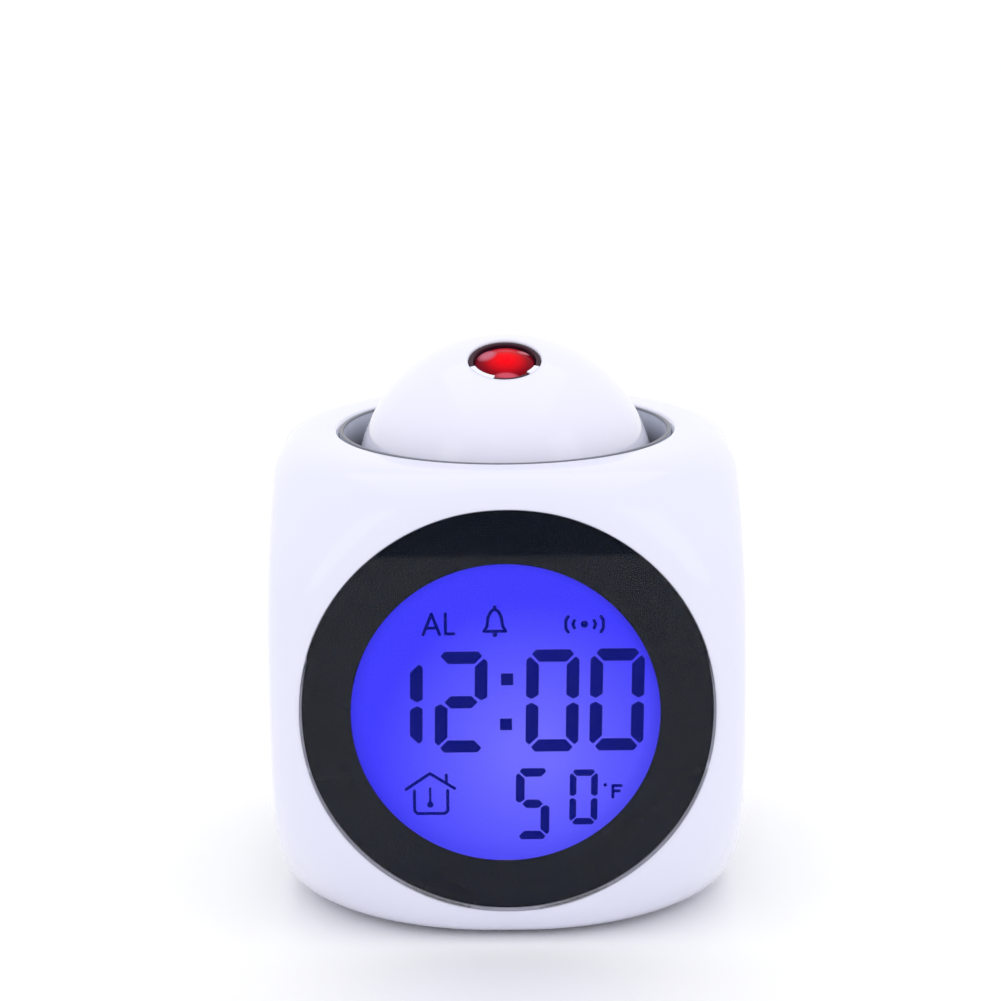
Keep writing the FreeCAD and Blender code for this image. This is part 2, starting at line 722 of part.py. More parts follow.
def ball_shells():
    """Make the two halves of the ball, which meet on the plane square to the lens."""
    inner_radius = ball_radius - ball_wall
    ball = Part.makeSphere(ball_radius)
    upper_space = box((-far, far), (-far, far), (0, far))
    lower_space = box((-far, far), (-far, far), (-far, 0))

    # the hollow is stepped, so the wall stays close to even without a second ball
    steps = [math.radians(angle) for angle in hollow_steps]
    outline = [(inner_radius * math.cos(step), inner_radius * math.sin(step)) for step in steps]
    roof = inner_radius * math.sin(steps[-1])
    hollow = turned([(0, 0)] + outline + [(0, roof)])
    lower_hollow = hollow.mirror(ORIGIN, Z_AXIS)

    bosses = [Part.makeCylinder(pin_boss_radius, pin_boss_depth + ball_wall,
                                Vector(side * (inner_radius - pin_boss_depth), 0, 0), X_AXIS * side)
              for side in (-1, 1)]
    bosses = [boss.common(Part.makeSphere(ball_radius - pin_boss_skin)) for boss in bosses]
    bore = Part.makeCylinder(pin_radius + press_gap, far, Vector(-far / 2, 0, 0), X_AXIS)

    seat_radius = lens_opening_radius + lens_seat_wall
    seat_top = math.sqrt(ball_radius ** 2 - seat_radius ** 2)
    seat = disc_z(seat_radius, (seat_top - lens_seat_depth - ball_wall, seat_top))
    upper = ball.common(upper_space).cut(hollow)
    upper = fused([upper, seat] + [boss.common(upper_space) for boss in bosses])
    upper = upper.cut([disc_z(lens_opening_radius, (0, far)), bore])
    tabs = [bezel_tab(side, (lens_opening_radius - bezel_tab_reach, lens_opening_radius + 2 * join), 0,
                      bezel_top + bezel_drop) for side in (-1, 1)]
    upper = fused([upper] + tabs).common(Part.makeSphere(ball_radius))
    save("ball_upper_shell", placed_in_ball(upper))

    lower = ball.common(lower_space).cut(lower_hollow)
    lower = fused([lower] + [boss.common(lower_space) for boss in bosses])
    save("ball_lower_shell", placed_in_ball(lower.cut(bore)))

    pin_start = inner_radius - pin_sink
    pin_end = cradle_outer_radius - pin_end_gap
    pins = [Part.makeCylinder(pin_radius, pin_end - pin_start, Vector(side * pin_start, 0, 0), X_AXIS * side)
            for side in (-1, 1)]
    save("tilt_pins", *[placed_in_ball(pin) for pin in pins])


def projector():
    """Make the projector inside the ball: bezel, red lens, barrel, film, lamp and board."""
    bezel_low = bezel_top - bezel_depth
    lens_low = bezel_top - lens_back_drop
    bezel = turned([(lens_radius, bezel_low), (lens_opening_radius, bezel_low),
                    (lens_opening_radius, bezel_top), (lens_radius + bezel_bevel, bezel_top),
                    (lens_radius, bezel_top - bezel_bevel)])
    notches = [bezel_tab(side, (lens_radius - wall, lens_opening_radius + wall), bezel_tab_gap,
                         bezel_top + wall) for side in (-1, 1)]
    save("lens_bezel", placed_in_ball(bezel.cut(notches)))

    shoulder = bezel_top - lens_shoulder_drop
    dome_radius = (lens_radius ** 2 + lens_dome ** 2) / (2 * lens_dome)
    rod = disc_z(lens_radius, (lens_low, shoulder + lens_dome))
    dome = Part.makeSphere(dome_radius, Vector(0, 0, shoulder + lens_dome - dome_radius))
    save("projection_lens", placed_in_ball(rod.common(dome)))

    barrel_top = bezel_low
    chamber_inner = chamber_radius - chamber_wall
    chamber_roof = barrel_bottom + chamber_wall
    barrel_inner = lens_opening_radius - barrel_wall
    barrel = turned([
        (lens_opening_radius, barrel_top), (lens_opening_radius, chamber_roof),
        (chamber_radius, chamber_roof), (chamber_radius, chamber_bottom),
        (chamber_inner, chamber_bottom), (chamber_inner, barrel_bottom),
        (light_gate_radius, barrel_bottom), (light_gate_radius, chamber_roof),
        (barrel_inner, chamber_roof), (barrel_inner, lens_low),
        (lens_radius + press_gap, lens_low), (lens_radius + press_gap, barrel_top)])
    save("projector_barrel", placed_in_ball(barrel))
    film = box((-film_width / 2, film_width / 2), (-film_height / 2, film_height / 2),
               (barrel_bottom - film_thickness, barrel_bottom))
    save("projector_film", placed_in_ball(film))
    board_low = chamber_bottom - projector_board_thickness
    save("projector_board", placed_in_ball(disc_z(chamber_radius, (board_low, chamber_bottom))))
    flange_radius = lamp_radius + lamp_flange
    lamp = turned([(0, chamber_bottom), (flange_radius, chamber_bottom), (flange_radius, 0), (lamp_radius, 0),
                   (lamp_radius, lamp_height - lamp_dome), (0.8 * lamp_radius, lamp_height - lamp_dome / 3),
                   (0.4 * lamp_radius, lamp_height), (0, lamp_height)])
    save("projector_lamp", placed_in_ball(lamp))


def key_places():
    """Return each key's name with its X."""
    middle = (len(key_names) - 1) / 2
    return [((index - middle) * key_pitch, name) for index, name in enumerate(key_names)]


def control_panel():
    """Make the rear panel with its keys, slide switch, board and tact switches."""
    panel = disc_y(panel_radius, (panel_back_y, panel_face_y), 0, centre_z)
    post_places = [(side * board_post_x, board_post_z) for side in (-1, 1)]
    posts = [disc_y(board_post_radius, (key_board_face_y, panel_back_y + panel_thickness / 2), x, z)
             for x, z in post_places]
    through = (panel_back_y - wall, rear_y + wall)
    holes = [disc_y(key_radius + key_gap, through, x, key_z) for x, name in key_places()]
    slot_half = slider_knob_length / 2 + slider_travel / 2 + key_gap
    holes.append(even_box(slot_half, slider_knob_width / 2 + key_gap, through, (0, slider_z)))
    for index in range(grille_slots):
        offset = (index - (grille_slots - 1) / 2) * grille_pitch
        half_length = math.sqrt(grille_radius ** 2 - offset ** 2)
        slot = even_box(half_length, grille_slot_width / 2, through, (0, speaker_z + offset))
        ends = [disc_y(grille_slot_width / 2, through, side * half_length, speaker_z + offset)
                for side in (-1, 1)]
        holes.append(fused([slot] + ends))
    pilot_range = (key_board_face_y - wall, key_board_face_y + board_screw_reach + pilot_spare)
    pilots = [disc_y(board_screw_radius + press_gap, pilot_range, x, z) for x, z in post_places]
    save("rear_panel", fused([panel] + posts).cut(holes + pilots))

    for x, name in key_places():
        cap = disc_y(key_radius, (key_flange_y - join, panel_face_y + key_proud), x, key_z)
        rim = [edge for edge in cap.Edges if edge.BoundBox.YMin > panel_face_y]
        cap = cap.makeChamfer(key_chamfer, rim)
        flange = disc_y(key_radius + key_flange, (key_back_y, key_flange_y), x, key_z)
        stem = disc_y(key_stem_radius, (key_stem_y, key_back_y + join), x, key_z)
        save(name, fused([cap, flange, stem]))

    board_half = board_post_x + key_board_side
    board_low = slider_z - slide_switch_width / 2 - key_board_below
    board_high = key_z + tact_width / 2 + key_board_above
    board = box((-board_half, board_half), (key_board_back_y, key_board_face_y), (board_low, board_high))
    board = board.common(disc_y(panel_opening_radius - key_board_gap, (0, rear_y), 0, centre_z))
    board_holes = [disc_y(board_screw_radius + press_gap, (0, rear_y), x, z) for x, z in post_places]
    save("key_board", board.cut(board_holes))
    tacts = []
    for x, name in key_places():
        body = even_box(tact_width / 2, tact_width / 2, (key_board_face_y, key_board_face_y + tact_height),
                        (x, key_z))
        button = disc_y(tact_button_radius, (key_board_face_y + tact_height - join, tact_top_y), x, key_z)
        tacts.append(body.fuse(button).removeSplitter())
    save("tact_switches", *tacts)
    save("key_board_screws", *[
        screw(x, z, key_board_back_y, key_board_face_y + board_screw_reach,
              key_board_back_y - board_screw_head_height, (board_screw_radius, board_screw_head_radius))
        for x, z in post_places])

    start_x = -slider_travel / 2
    knob = even_box(slider_knob_length / 2, slider_knob_width / 2,
                    (key_flange_y - join, panel_face_y + slider_knob_proud), (start_x, slider_z))
    flange = even_box(slider_flange_length / 2, slider_flange_width / 2, (key_back_y, key_flange_y),
                      (start_x, slider_z))
    switch_top_y = key_board_face_y + slide_switch_height
    stem = even_box(slider_stem_length / 2, slider_stem_width / 2,
                    (switch_top_y + touch_gap, key_back_y + join), (start_x, slider_z))
    save("slide_knob", fused([knob, flange, stem]))
    save("slide_switch", even_box(slide_switch_length / 2, slide_switch_width / 2,
                                  (key_board_face_y, switch_top_y), (0, slider_z)))


def speaker():
    """Make the speaker behind the grille: basket, magnet and cone."""
    front = panel_back_y
    rim_back = front - speaker_rim_thickness
    deep = front - speaker_depth
    rim_inner = speaker_radius - speaker_rim_width
    pan_radius = magnet_radius + magnet_margin
    save("speaker_basket", turned_y([
        (speaker_radius, front), (speaker_radius, rim_back), (pan_radius, deep), (0, deep),
        (0, deep + speaker_skin), (pan_radius, deep + speaker_skin), (rim_inner, rim_back + speaker_skin / 2),
        (rim_inner, front)], speaker_z))
    save("speaker_magnet", disc_y(magnet_radius, (deep - magnet_height, deep), 0, speaker_z))
    cone_front = front - cone_thickness
    cone_low = deep + speaker_skin + cone_lift
    cap_front = cone_low + cone_thickness
    save("speaker_cone", turned_y([
        (rim_inner, cone_front), (cone_cap_radius, cone_low), (0, cone_low), (0, cap_front),
        (cone_cap_radius, cap_front), (rim_inner - cone_thickness, cone_front)], speaker_z))


def finger_notch():
    """Return the shallow thumb recess in front of the battery door."""
    return disc_z(door_notch_radius, (0, base_z + door_notch_depth), 0, -tray_outer_y)


def cell_places():
    """Return each battery's Y and the side its positive end faces."""
    middle = (cell_count - 1) / 2
    return [((index - middle) * cell_pitch, 1 if index % 2 == 0 else -1) for index in range(cell_count)]


def battery_tray():
    """Make the tray, its contacts, the batteries and the door that swings on two pins."""
    outside = box((-tray_outer_x, tray_outer_x), (-tray_outer_y, tray_outer_y),
                  (base_z, tray_top_z + tray_roof))
    flange_z = base_z + wall
    flange = box((-tray_outer_x - tray_flange, tray_outer_x + tray_flange),
                 (-tray_outer_y - tray_flange, tray_outer_y + tray_flange),
                 (flange_z, flange_z + tray_flange_thickness))
    inside = box((-tray_half_x, tray_half_x), (-tray_half_y, tray_half_y), (0, tray_top_z))
    rib_half = tray_half_x - contact_thickness - cell_gap
    ribs = [box((-rib_half, rib_half), (y - tray_rib_width / 2, y + tray_rib_width / 2),
                (tray_top_z - tray_rib_depth, tray_top_z + tray_roof / 2))
            for y in (-cell_pitch / 2, cell_pitch / 2)]
    pin_reach = tray_half_x - door_gap + door_pin_length
    pin_hole = Part.makeCylinder(door_pin_radius + running_gap, 2 * pin_reach + 2 * door_gap,
                                 Vector(-pin_reach - door_gap, door_pin_y, door_pin_z), X_AXIS)
    tray = fused([outside, flange]).cut(inside)
    tray = fused([tray] + ribs).cut([pin_hole, finger_notch()])
    save("battery_tray", tray)

    door_half_x = tray_half_x - door_gap
    plate = box((-door_half_x, door_half_x), (-tray_half_y + door_gap, door_pin_y),
                (base_z, base_z + door_thickness))
    knuckle = Part.makeCylinder(door_thickness / 2, 2 * door_half_x,
                                Vector(-door_half_x, door_pin_y, door_pin_z), X_AXIS)
    pin_start = Vector(-pin_reach, door_pin_y, door_pin_z)
    pin = Part.makeCylinder(door_pin_radius, 2 * pin_reach, pin_start, X_AXIS)
    save("battery_door", fused([plate, knuckle, pin]))

    cells = []
    springs = []
    contacts = []
    for y, plus_side in cell_places():
        plus_end = plus_side * (tray_half_x - contact_thickness - cell_end_gap)
        body_end = plus_end - plus_side * cell_nub_length
        axis = X_AXIS * -plus_side
        nub = Part.makeCylinder(cell_nub_radius, cell_nub_length + join, Vector(plus_end, y, cell_z), axis)
        jacket_length = cell_length - cell_nub_length
        jacket = Part.makeCylinder(cell_radius, jacket_length, Vector(body_end, y, cell_z), axis)
        cells.append(nub.fuse(jacket).removeSplitter())
        minus_wall = -plus_side * (tray_half_x - contact_thickness)
        minus_end = plus_end - plus_side * cell_length
        coil_length = abs(minus_wall - minus_end) - cell_end_gap
        springs.append(Part.makeCone(contact_spring_radius, contact_spring_tip, coil_length,
                                     Vector(minus_wall, y, cell_z), X_AXIS * plus_side))
    low = cell_z - contact_height / 2
    plates = ((-1, -1, 0), (-1, 1, 1), (1, -1, -1), (1, 0, 1))
    for side, first, last in plates:
        x_range = sorted((side * (tray_half_x - contact_thickness), side * tray_half_x))
        y_range = (first * cell_pitch - contact_width / 2, last * cell_pitch + contact_width / 2)
        contacts.append(box(x_range, y_range, (low, low + contact_height)))
    save("battery_cells", *cells)
    save("contact_springs", *springs)
    save("battery_contacts", *contacts)


def case_screws():
    """Make the four long screws that draw the rear shell onto the front shell."""
    save("case_screws", *[
        screw(x, z, case_screw_seat, -case_screw_reach, case_screw_seat + case_screw_head_height,
              (case_screw_radius, case_screw_head_radius)) for x, z in case_screw_places()])


case_shells()
feet()
window()
display()
board_parts()
well()
cradle()
press_switch()
cradle_spring()
ball_shells()
projector()
control_panel()
speaker()
battery_tray()
case_screws()
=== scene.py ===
import bmesh
import bpy
import json
from math import acos, asin, cos, degrees, hypot, pi, radians, sin, sqrt
from mathutils import Matrix, Vector


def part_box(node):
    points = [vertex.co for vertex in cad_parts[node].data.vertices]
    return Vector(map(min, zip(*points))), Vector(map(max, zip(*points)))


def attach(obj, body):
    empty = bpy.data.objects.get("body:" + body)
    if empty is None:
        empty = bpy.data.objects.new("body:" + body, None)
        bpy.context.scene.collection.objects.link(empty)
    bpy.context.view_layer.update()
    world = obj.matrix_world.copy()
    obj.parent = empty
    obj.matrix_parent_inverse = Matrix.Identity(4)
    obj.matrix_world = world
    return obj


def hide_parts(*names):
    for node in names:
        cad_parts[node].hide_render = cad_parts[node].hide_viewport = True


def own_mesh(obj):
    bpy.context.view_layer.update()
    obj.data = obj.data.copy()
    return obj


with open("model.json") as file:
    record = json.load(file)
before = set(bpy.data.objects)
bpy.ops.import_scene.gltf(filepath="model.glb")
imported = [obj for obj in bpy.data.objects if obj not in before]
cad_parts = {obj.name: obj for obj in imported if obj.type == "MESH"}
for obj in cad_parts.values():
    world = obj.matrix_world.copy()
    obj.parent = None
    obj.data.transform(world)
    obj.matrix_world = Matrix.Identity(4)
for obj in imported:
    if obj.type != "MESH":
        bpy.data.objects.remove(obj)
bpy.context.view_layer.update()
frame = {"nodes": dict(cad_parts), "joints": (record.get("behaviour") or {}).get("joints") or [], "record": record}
nodes = frame["nodes"]
mm = 0.001
print("frame loaded")

# Places read from the frame. The origin is on the table under the middle of the case.
shellLow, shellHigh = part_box("front_shell")
ballLow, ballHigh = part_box("ball_lower_shell")
joints = {joint["name"]: joint for joint in frame["joints"]}
halfCase = (shellHigh.x - shellLow.x) / 2
caseMiddle = Vector((0, 0, (shellLow.z + shellHigh.z) / 2))
ballCentre = Vector(joints["projector_tilt"]["pos_m"])
ballRadius = (ballHigh.x - ballLow.x) / 2
creaseAngle = 35  # faces that meet at more degrees show an edge


# Mesh helpers. Every piece is made in place, with its object at the origin.
def meshOf(name, bm):
    mesh = bpy.data.meshes.new(name)
    bm.to_mesh(mesh)
    bm.free()
    return mesh


def addObject(name, data):
    item = bpy.data.objects.new(name, data)
    bpy.context.scene.collection.objects.link(item)
    return item


def newPiece(name, bm, body, slot, finish=None, crease=creaseAngle):
    bmesh.ops.recalc_face_normals(bm, faces=bm.faces)
    return keepFaces(name, bm, body, slot, finish, crease)


def keepFaces(name, bm, body, slot, finish=None, crease=creaseAngle):
    # a piece with the finish of its slot, unless another is named
    mesh = meshOf(name, bm)
    mesh.shade_smooth()
    mesh.set_sharp_from_angle(angle=radians(crease))
    mesh.materials.append(finishes[finish or slot])
    piece = addObject(name, mesh)
    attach(piece, body)
    return piece


def turnedShape(profile, steps=128):
    # spins a closed (radius, height) outline round Z
    bm = bmesh.new()
    points = [bm.verts.new((radius * mm, 0, height * mm)) for radius, height in profile]
    edges = [bm.edges.new((points[i - 1], points[i])) for i in range(len(points))]
    bmesh.ops.spin(bm, geom=points + edges, axis=(0, 0, 1), cent=(0, 0, 0), angle=2 * pi,
                   steps=steps, use_merge=True)
    bmesh.ops.remove_doubles(bm, verts=bm.verts, dist=1e-6)
    return bm


def arcPoints(centre, radius, start, end, count):
    # points on an arc in the (radius, height) plane, angles in degrees from the level
    angles = [radians(start + (end - start) * i / count) for i in range(count + 1)]
    return [(centre[0] + radius * cos(a), centre[1] + radius * sin(a)) for a in angles]


def moved(bm, matrix):
    bmesh.ops.transform(bm, matrix=matrix, verts=bm.verts)
    return bm


def absorb(bm, part):
    # adds one shape to another
    mesh = meshOf("part", part)
    bm.from_mesh(mesh)
    bpy.data.meshes.remove(mesh)


def vertsIn(geometry):
    return [item for item in geometry if isinstance(item, bmesh.types.BMVert)]


def settle(piece, crease=creaseAngle):
    # keeps what the piece's modifiers make as its own mesh
    bpy.context.view_layer.update()
    graph = bpy.context.evaluated_depsgraph_get()
    mesh = bpy.data.meshes.new_from_object(piece.evaluated_get(graph))
    piece.modifiers.clear()
    piece.data = mesh
    mesh.set_sharp_from_angle(angle=radians(crease))


def carve(piece, bm):
    # cuts the closed shapes of a bmesh out of a piece
    bmesh.ops.recalc_face_normals(bm, faces=bm.faces)
    tool = addObject("tool", meshOf("tool", bm))
    step = piece.modifiers.new("carve", "BOOLEAN")
    step.operation = "DIFFERENCE"
    step.solver = "EXACT"
    step.object = tool
    settle(piece)
    bpy.data.objects.remove(tool)


def addBar(bm, radius, low, high, x, y, alongY=False):
    # a round bar between two heights, or between two depths where it lies along Y
    middle = (high + low) / 2
    place = Matrix.Translation(Vector((x, middle, y) if alongY else (x, y, middle)) * mm)
    if alongY:
        place @= Matrix.Rotation(pi / 2, 4, "X")
    bmesh.ops.create_cone(bm, cap_ends=True, segments=48, radius1=radius * mm, radius2=radius * mm,
                          depth=(high - low) * mm, matrix=place)


def addBlock(bm, low, high):
    # a box between two corners
    low, high = Vector(low) * mm, Vector(high) * mm
    place = Matrix.LocRotScale((low + high) / 2, None, high - low)
    return bmesh.ops.create_cube(bm, size=1.0, matrix=place)["verts"]


def roundEdges(bm, edges, offset, segments):
    bmesh.ops.bevel(bm, geom=list(edges), offset=offset * mm, offset_type="OFFSET", segments=segments,
                    profile=0.5, affect="EDGES", material=-1, clamp_overlap=True)


def wirePiece(name, paths, radius):
    # round wire along paths of points in metres, with closed ends
    curve = bpy.data.curves.new(name, "CURVE")
    curve.dimensions = "3D"
    curve.bevel_depth = radius * mm
    curve.bevel_resolution = 3
    curve.use_fill_caps = True
    for path in paths:
        spline = curve.splines.new("POLY")
        spline.points.add(len(path) - 1)
        for point, place in zip(spline.points, path):
            point.co = (*place, 1.0)
    wire = addObject(name + "Line", curve)
    bpy.context.view_layer.update()
    mesh = bpy.data.meshes.new_from_object(wire.evaluated_get(bpy.context.evaluated_depsgraph_get()))
    bpy.data.objects.remove(wire)
    bm = bmesh.new()
    bm.from_mesh(mesh)
    return newPiece(name, bm, "case", "nickel", crease=50)


def aboutY(bm, x, depth, height):
    # lays a shape turned round Z along Y, its top facing the back, at a place in millimetres
    place = Matrix.Translation(Vector((x, depth, height)) * mm)
    return moved(bm, place @ Matrix.Rotation(-pi / 2, 4, "X"))


# Shader helpers: one wrapper turns sums on sockets into Math nodes, one method makes any other node.
class Wire:
    def __init__(self, maker, socket):
        self.maker = maker
        self.socket = socket

    def math(self, operation, *others):
        inputs = dict(enumerate((self,) + others))
        return self.maker.add("Math", {"operation": operation}, inputs)

    def __add__(self, other):
        return self.math("ADD", other)

    def __radd__(self, other):
        return self.math("ADD", other)

    def __sub__(self, other):
        return self.math("SUBTRACT", other)

    def __rsub__(self, other):
        flipped = self.math("MULTIPLY", -1.0)
        return flipped.math("ADD", other)

    def __mul__(self, other):
        return self.math("MULTIPLY", other)

    def __rmul__(self, other):
        return self.math("MULTIPLY", other)

    def __truediv__(self, other):
        return self.math("DIVIDE", other)

    def __rtruediv__(self, other):
        inverse = self.math("POWER", -1.0)
        return inverse.math("MULTIPLY", other)

    def squared(self):
        return self.math("MULTIPLY", self)

    def clamped(self):
        return self.math("MAXIMUM", 0.0).math("MINIMUM", 1.0)


class Finish:
    def __init__(self, name):
        self.material = bpy.data.materials.new(name)
        self.material.use_nodes = True
        self.tree = self.material.node_tree
        self.surface = self.tree.nodes["Principled BSDF"]

    def add(self, kind, settings=None, inputs=None, output=0):
        node = self.tree.nodes.new("ShaderNode" + kind)
        for key, value in (settings or {}).items():
            if key == "stops":
                self.setStops(node.color_ramp, value)
            else:
                setattr(node, key, value)
        for key, value in (inputs or {}).items():
            self.feed(node.inputs[key], value)
        return Wire(self, node.outputs[output])

    def setStops(self, ramp, stops):
        while len(ramp.elements) < len(stops):
            ramp.elements.new(0.5)
        for element, (place, colour) in zip(ramp.elements, stops):
            element.position = place
            element.color = (*colour, 1.0)

    def feed(self, socket, value):
        if isinstance(value, Wire):
            self.tree.links.new(value.socket, socket)
        else:
            socket.default_value = value

    def set(self, **values):
        for key, value in values.items():
            self.feed(self.surface.inputs[key.replace("_", " ")], value)
        return self.material

    def place(self):
        return self.add("TexCoord", {}, {}, "Object")

    def noise(self, scale, detail=3.0, roughness=0.5, vector=None):
        return self.add("TexNoise", {}, {"Vector": vector or self.place(), "Scale": scale,
                                                   "Detail": detail, "Roughness": roughness}, "Fac")

    def ramp(self, value, stops):
        return self.add("ValToRGB", {"stops": stops}, {"Fac": value}, "Color")

    def uneven(self, noise, colour, share):
        # a colour that is darker by a share where the noise is low
        darker = tuple(channel * (1 - share) for channel in colour)
        return self.ramp(noise, [(0.3, darker), (0.7, colour)])

    def mix(self, share, first, second):
        return self.add("Mix", {"data_type": "RGBA"}, {0: share, 6: first, 7: second}, 2)

    def centred(self, middle, tilt=0.0):
        # object coordinates in millimetres about a point, turned back by a tilt about X
        shifted = self.add("Mapping", {}, {"Vector": self.place(),
                                                     "Location": [-c for c in middle]}, "Vector")
        turned = self.add("Mapping", {}, {"Vector": shifted, "Rotation": (-tilt, 0, 0),
                                                    "Scale": (1 / mm, 1 / mm, 1 / mm)}, "Vector")
        return [self.add("SeparateXYZ", {}, {"Vector": turned}, axis) for axis in "XYZ"]

    def bump(self, height, strength, distance):
        return self.add("Bump", {}, {"Height": height, "Strength": strength,
                                               "Distance": distance}, "Normal")


# Noise is given as scale, detail and roughness.
plasticLook = {
    "drift": (18.0, 3.0), "grainNoise": (2.0, 0.6), "unevenGloss": 0.06, "bumpReach": 0.02,
    "coatRoughness": 0.03,
}
metalLook = {
    "streaks": (900.0, 4.0, 0.7), "variation": 0.18, "unevenGloss": 0.12, "grain": 0.1,
    "bumpReach": 0.02,
}
clearLook = {
    "drift": (40.0, 2.0), "variation": 0.03, "unevenGloss": 0.01,
}


def plasticFinish(name, colour, roughness, grain, grainSize, coat=0.0, variation=0.02, specular=0.5):
    # moulded plastic: faint colour drift, uneven gloss and a fine moulded grain
    look = plasticLook
    finish = Finish(name)
    drift = finish.noise(*look["drift"])
    fine = finish.noise(1.0 / (grainSize * mm), *look["grainNoise"])
    return finish.set(Base_Color=finish.uneven(drift, colour, variation),
                      Roughness=drift * look["unevenGloss"] + (roughness - look["unevenGloss"] / 2),
                      Normal=finish.bump(fine, grain, look["bumpReach"] * mm),
                      Coat_Weight=coat, Coat_Roughness=look["coatRoughness"],
                      Specular_IOR_Level=specular)


def metalFinish(name, colour, roughness):
    # plated or turned metal: fine uneven polish
    look = metalLook
    finish = Finish(name)
    streaks = finish.noise(*look["streaks"])
    return finish.set(Base_Color=finish.uneven(streaks, colour, look["variation"]), Metallic=1.0,
                      Roughness=streaks * look["unevenGloss"] + roughness,
                      Normal=finish.bump(streaks, look["grain"], look["bumpReach"] * mm))


def clearFinish(name, tint, roughness, ior):
    # polished clear plastic with a trace of unevenness
    look = clearLook
    finish = Finish(name)
    drift = finish.noise(*look["drift"])
    return finish.set(Base_Color=finish.uneven(drift, tint, look["variation"]),
                      Roughness=drift * look["unevenGloss"] + roughness, IOR=ior,
                      Transmission_Weight=1.0)


# name: colour, roughness, strength and size of the grain in millimetres, rest
plastics = {
    "case_white": ((0.745, 0.752, 0.90), 0.16, 0.05, 1.2, {"coat": 0.6}),
    # ball_white is a little lighter than case_white: painted light that makes up for the shade the well casts on
    # the lower dome
    "ball_white": ((0.785, 0.785, 0.93), 0.14, 0.04, 1.2, {"coat": 0.6}),
    "panel_white": ((0.66, 0.665, 0.76), 0.42, 0.35, 0.25, {}),
    "key_white": ((0.71, 0.715, 0.85), 0.28, 0.10, 0.4, {}),
    "diffuser_white": ((0.80, 0.82, 0.92), 0.5, 0.2, 0.2, {}),
    "rubber_grey": ((0.10, 0.10, 0.11), 0.7, 0.5, 0.15, {}),
    "foot_rubber": ((0.45, 0.45, 0.48), 0.6, 0.4, 0.3, {}),
    "frame_grey": ((0.35, 0.35, 0.38), 0.45, 0.3, 0.25, {}),
    # well_dark: cradle and cup near black so that the well round the ball looks dark, painted shade
    "well_dark": ((0.03, 0.03, 0.035), 0.45, 0.25, 0.3, {}),
    "board_green": ((0.02, 0.13, 0.05), 0.35, 0.3, 0.5, {"variation": 0.4}),
    "chip_black": ((0.012, 0.012, 0.012), 0.4, 0.2, 0.3, {}),
    "capacitor_sleeve": ((0.01, 0.02, 0.08), 0.3, 0.1, 0.4, {}),
    "optic_black": ((0.01, 0.01, 0.01), 0.55, 0.2, 0.3, {}),
    "bezel_dark": ((0.035, 0.008, 0.018), 0.2, 0.05, 0.6, {"specular": 0.15}),
    "cell_jacket": ((0.05, 0.06, 0.09), 0.3, 0.1, 0.6, {}),
    "magnet": ((0.06, 0.06, 0.065), 0.6, 0.5, 0.3, {}),
    "cone_paper": ((0.03, 0.03, 0.03), 0.85, 0.8, 0.15, {}),
    "print_grey": ((0.10, 0.10, 0.12), 0.5, 0.1, 0.3, {}),
}
# name: colour, roughness
metals = {
    "nickel": ((0.68, 0.66, 0.60), 0.18),
    "steel": ((0.56, 0.56, 0.57), 0.25),
    "speaker_metal": ((0.05, 0.05, 0.05), 0.40),
}
# name: tint, roughness, index of refraction
clears = {
    "window_clear": ((0.98, 0.985, 1.0), 0.0, 1.12),
    "lamp_clear": ((1.0, 0.6, 0.6), 0.05, 1.5),
    "film": ((0.25, 0.05, 0.05), 0.1, 1.5),
}
finishes = {name: plasticFinish(name, *values, **rest) for name, (*values, rest) in plastics.items()}
finishes.update({name: metalFinish(name, *values) for name, values in metals.items()})
finishes.update({name: clearFinish(name, *values) for name, values in clears.items()})

glowLook = {
    "centreColour": (0.155, 0.145, 1.0), "edgeColour": (0.048, 0.042, 0.98), "centre": (4.0, -8.0),
    "halfSpan": 27.0,
    "centreShare": 0.15,  # share of the span that keeps the centre's colour
    "shadeFrom": 24.2,  # soft shade under the ring, strongest at the top
    "shadeReach": 2.6, "shadeColour": (0.012, 0.012, 0.42, 1.0), "shadeTop": 0.65, "shadeAll": 0.10,
    "unlit": (0.005, 0.005, 0.03, 1.0),
}


def displayFinish():
    # lit panel: brightest low on the right, in shade along the ring
    look = glowLook
    finish = Finish("lcd_blue")
    across, up = look["centre"]
    x, _, z = finish.centred(caseMiddle + Vector((across * mm, 0, up * mm)))
    reach = (x.squared() + z.squared()).math("SQRT")
    colour = finish.ramp(reach / look["halfSpan"], [(look["centreShare"], look["centreColour"]),
                                                    (1.0, look["edgeColour"])])
    shift = borderLook["openingShift"] * mm
    x, _, z = finish.centred(caseMiddle + Vector((-shift, 0, shift)))
    rim = (x.squared() + z.squared()).math("SQRT")
    shade = ((rim - look["shadeFrom"]) / look["shadeReach"]).clamped()
    upper = (z / borderLook["opening"] * 0.5 + 0.5).clamped()
    share = shade * (upper * look["shadeTop"] + look["shadeAll"])
    colour = finish.mix(share, colour, look["shadeColour"])
    return finish.set(Base_Color=look["unlit"], Roughness=0.4, Emission_Color=colour,
                      Emission_Strength=1.0, Specular_IOR_Level=0.0)


borderLook = {
    "colour": (0.0020, 0.0045, 0.0125),
    "darkReflectionHeight": 27.3,  # above this height the ring has less coat and stays darker: a painted dark reflection band
    "darkReflectionSoftness": 0.8, "coat": 0.40, "darkReflectionCoat": 0.02, "opening": 26.3,
    "openingShift": 0.35,  # the opening sits this far to the left and up
    "drift": (60.0, 3.0), "variation": 0.2,
    "gap": 0.03,  # from the window's back, so that the print shows cleanly
    "thick": 0.12, "steps": 160,
}


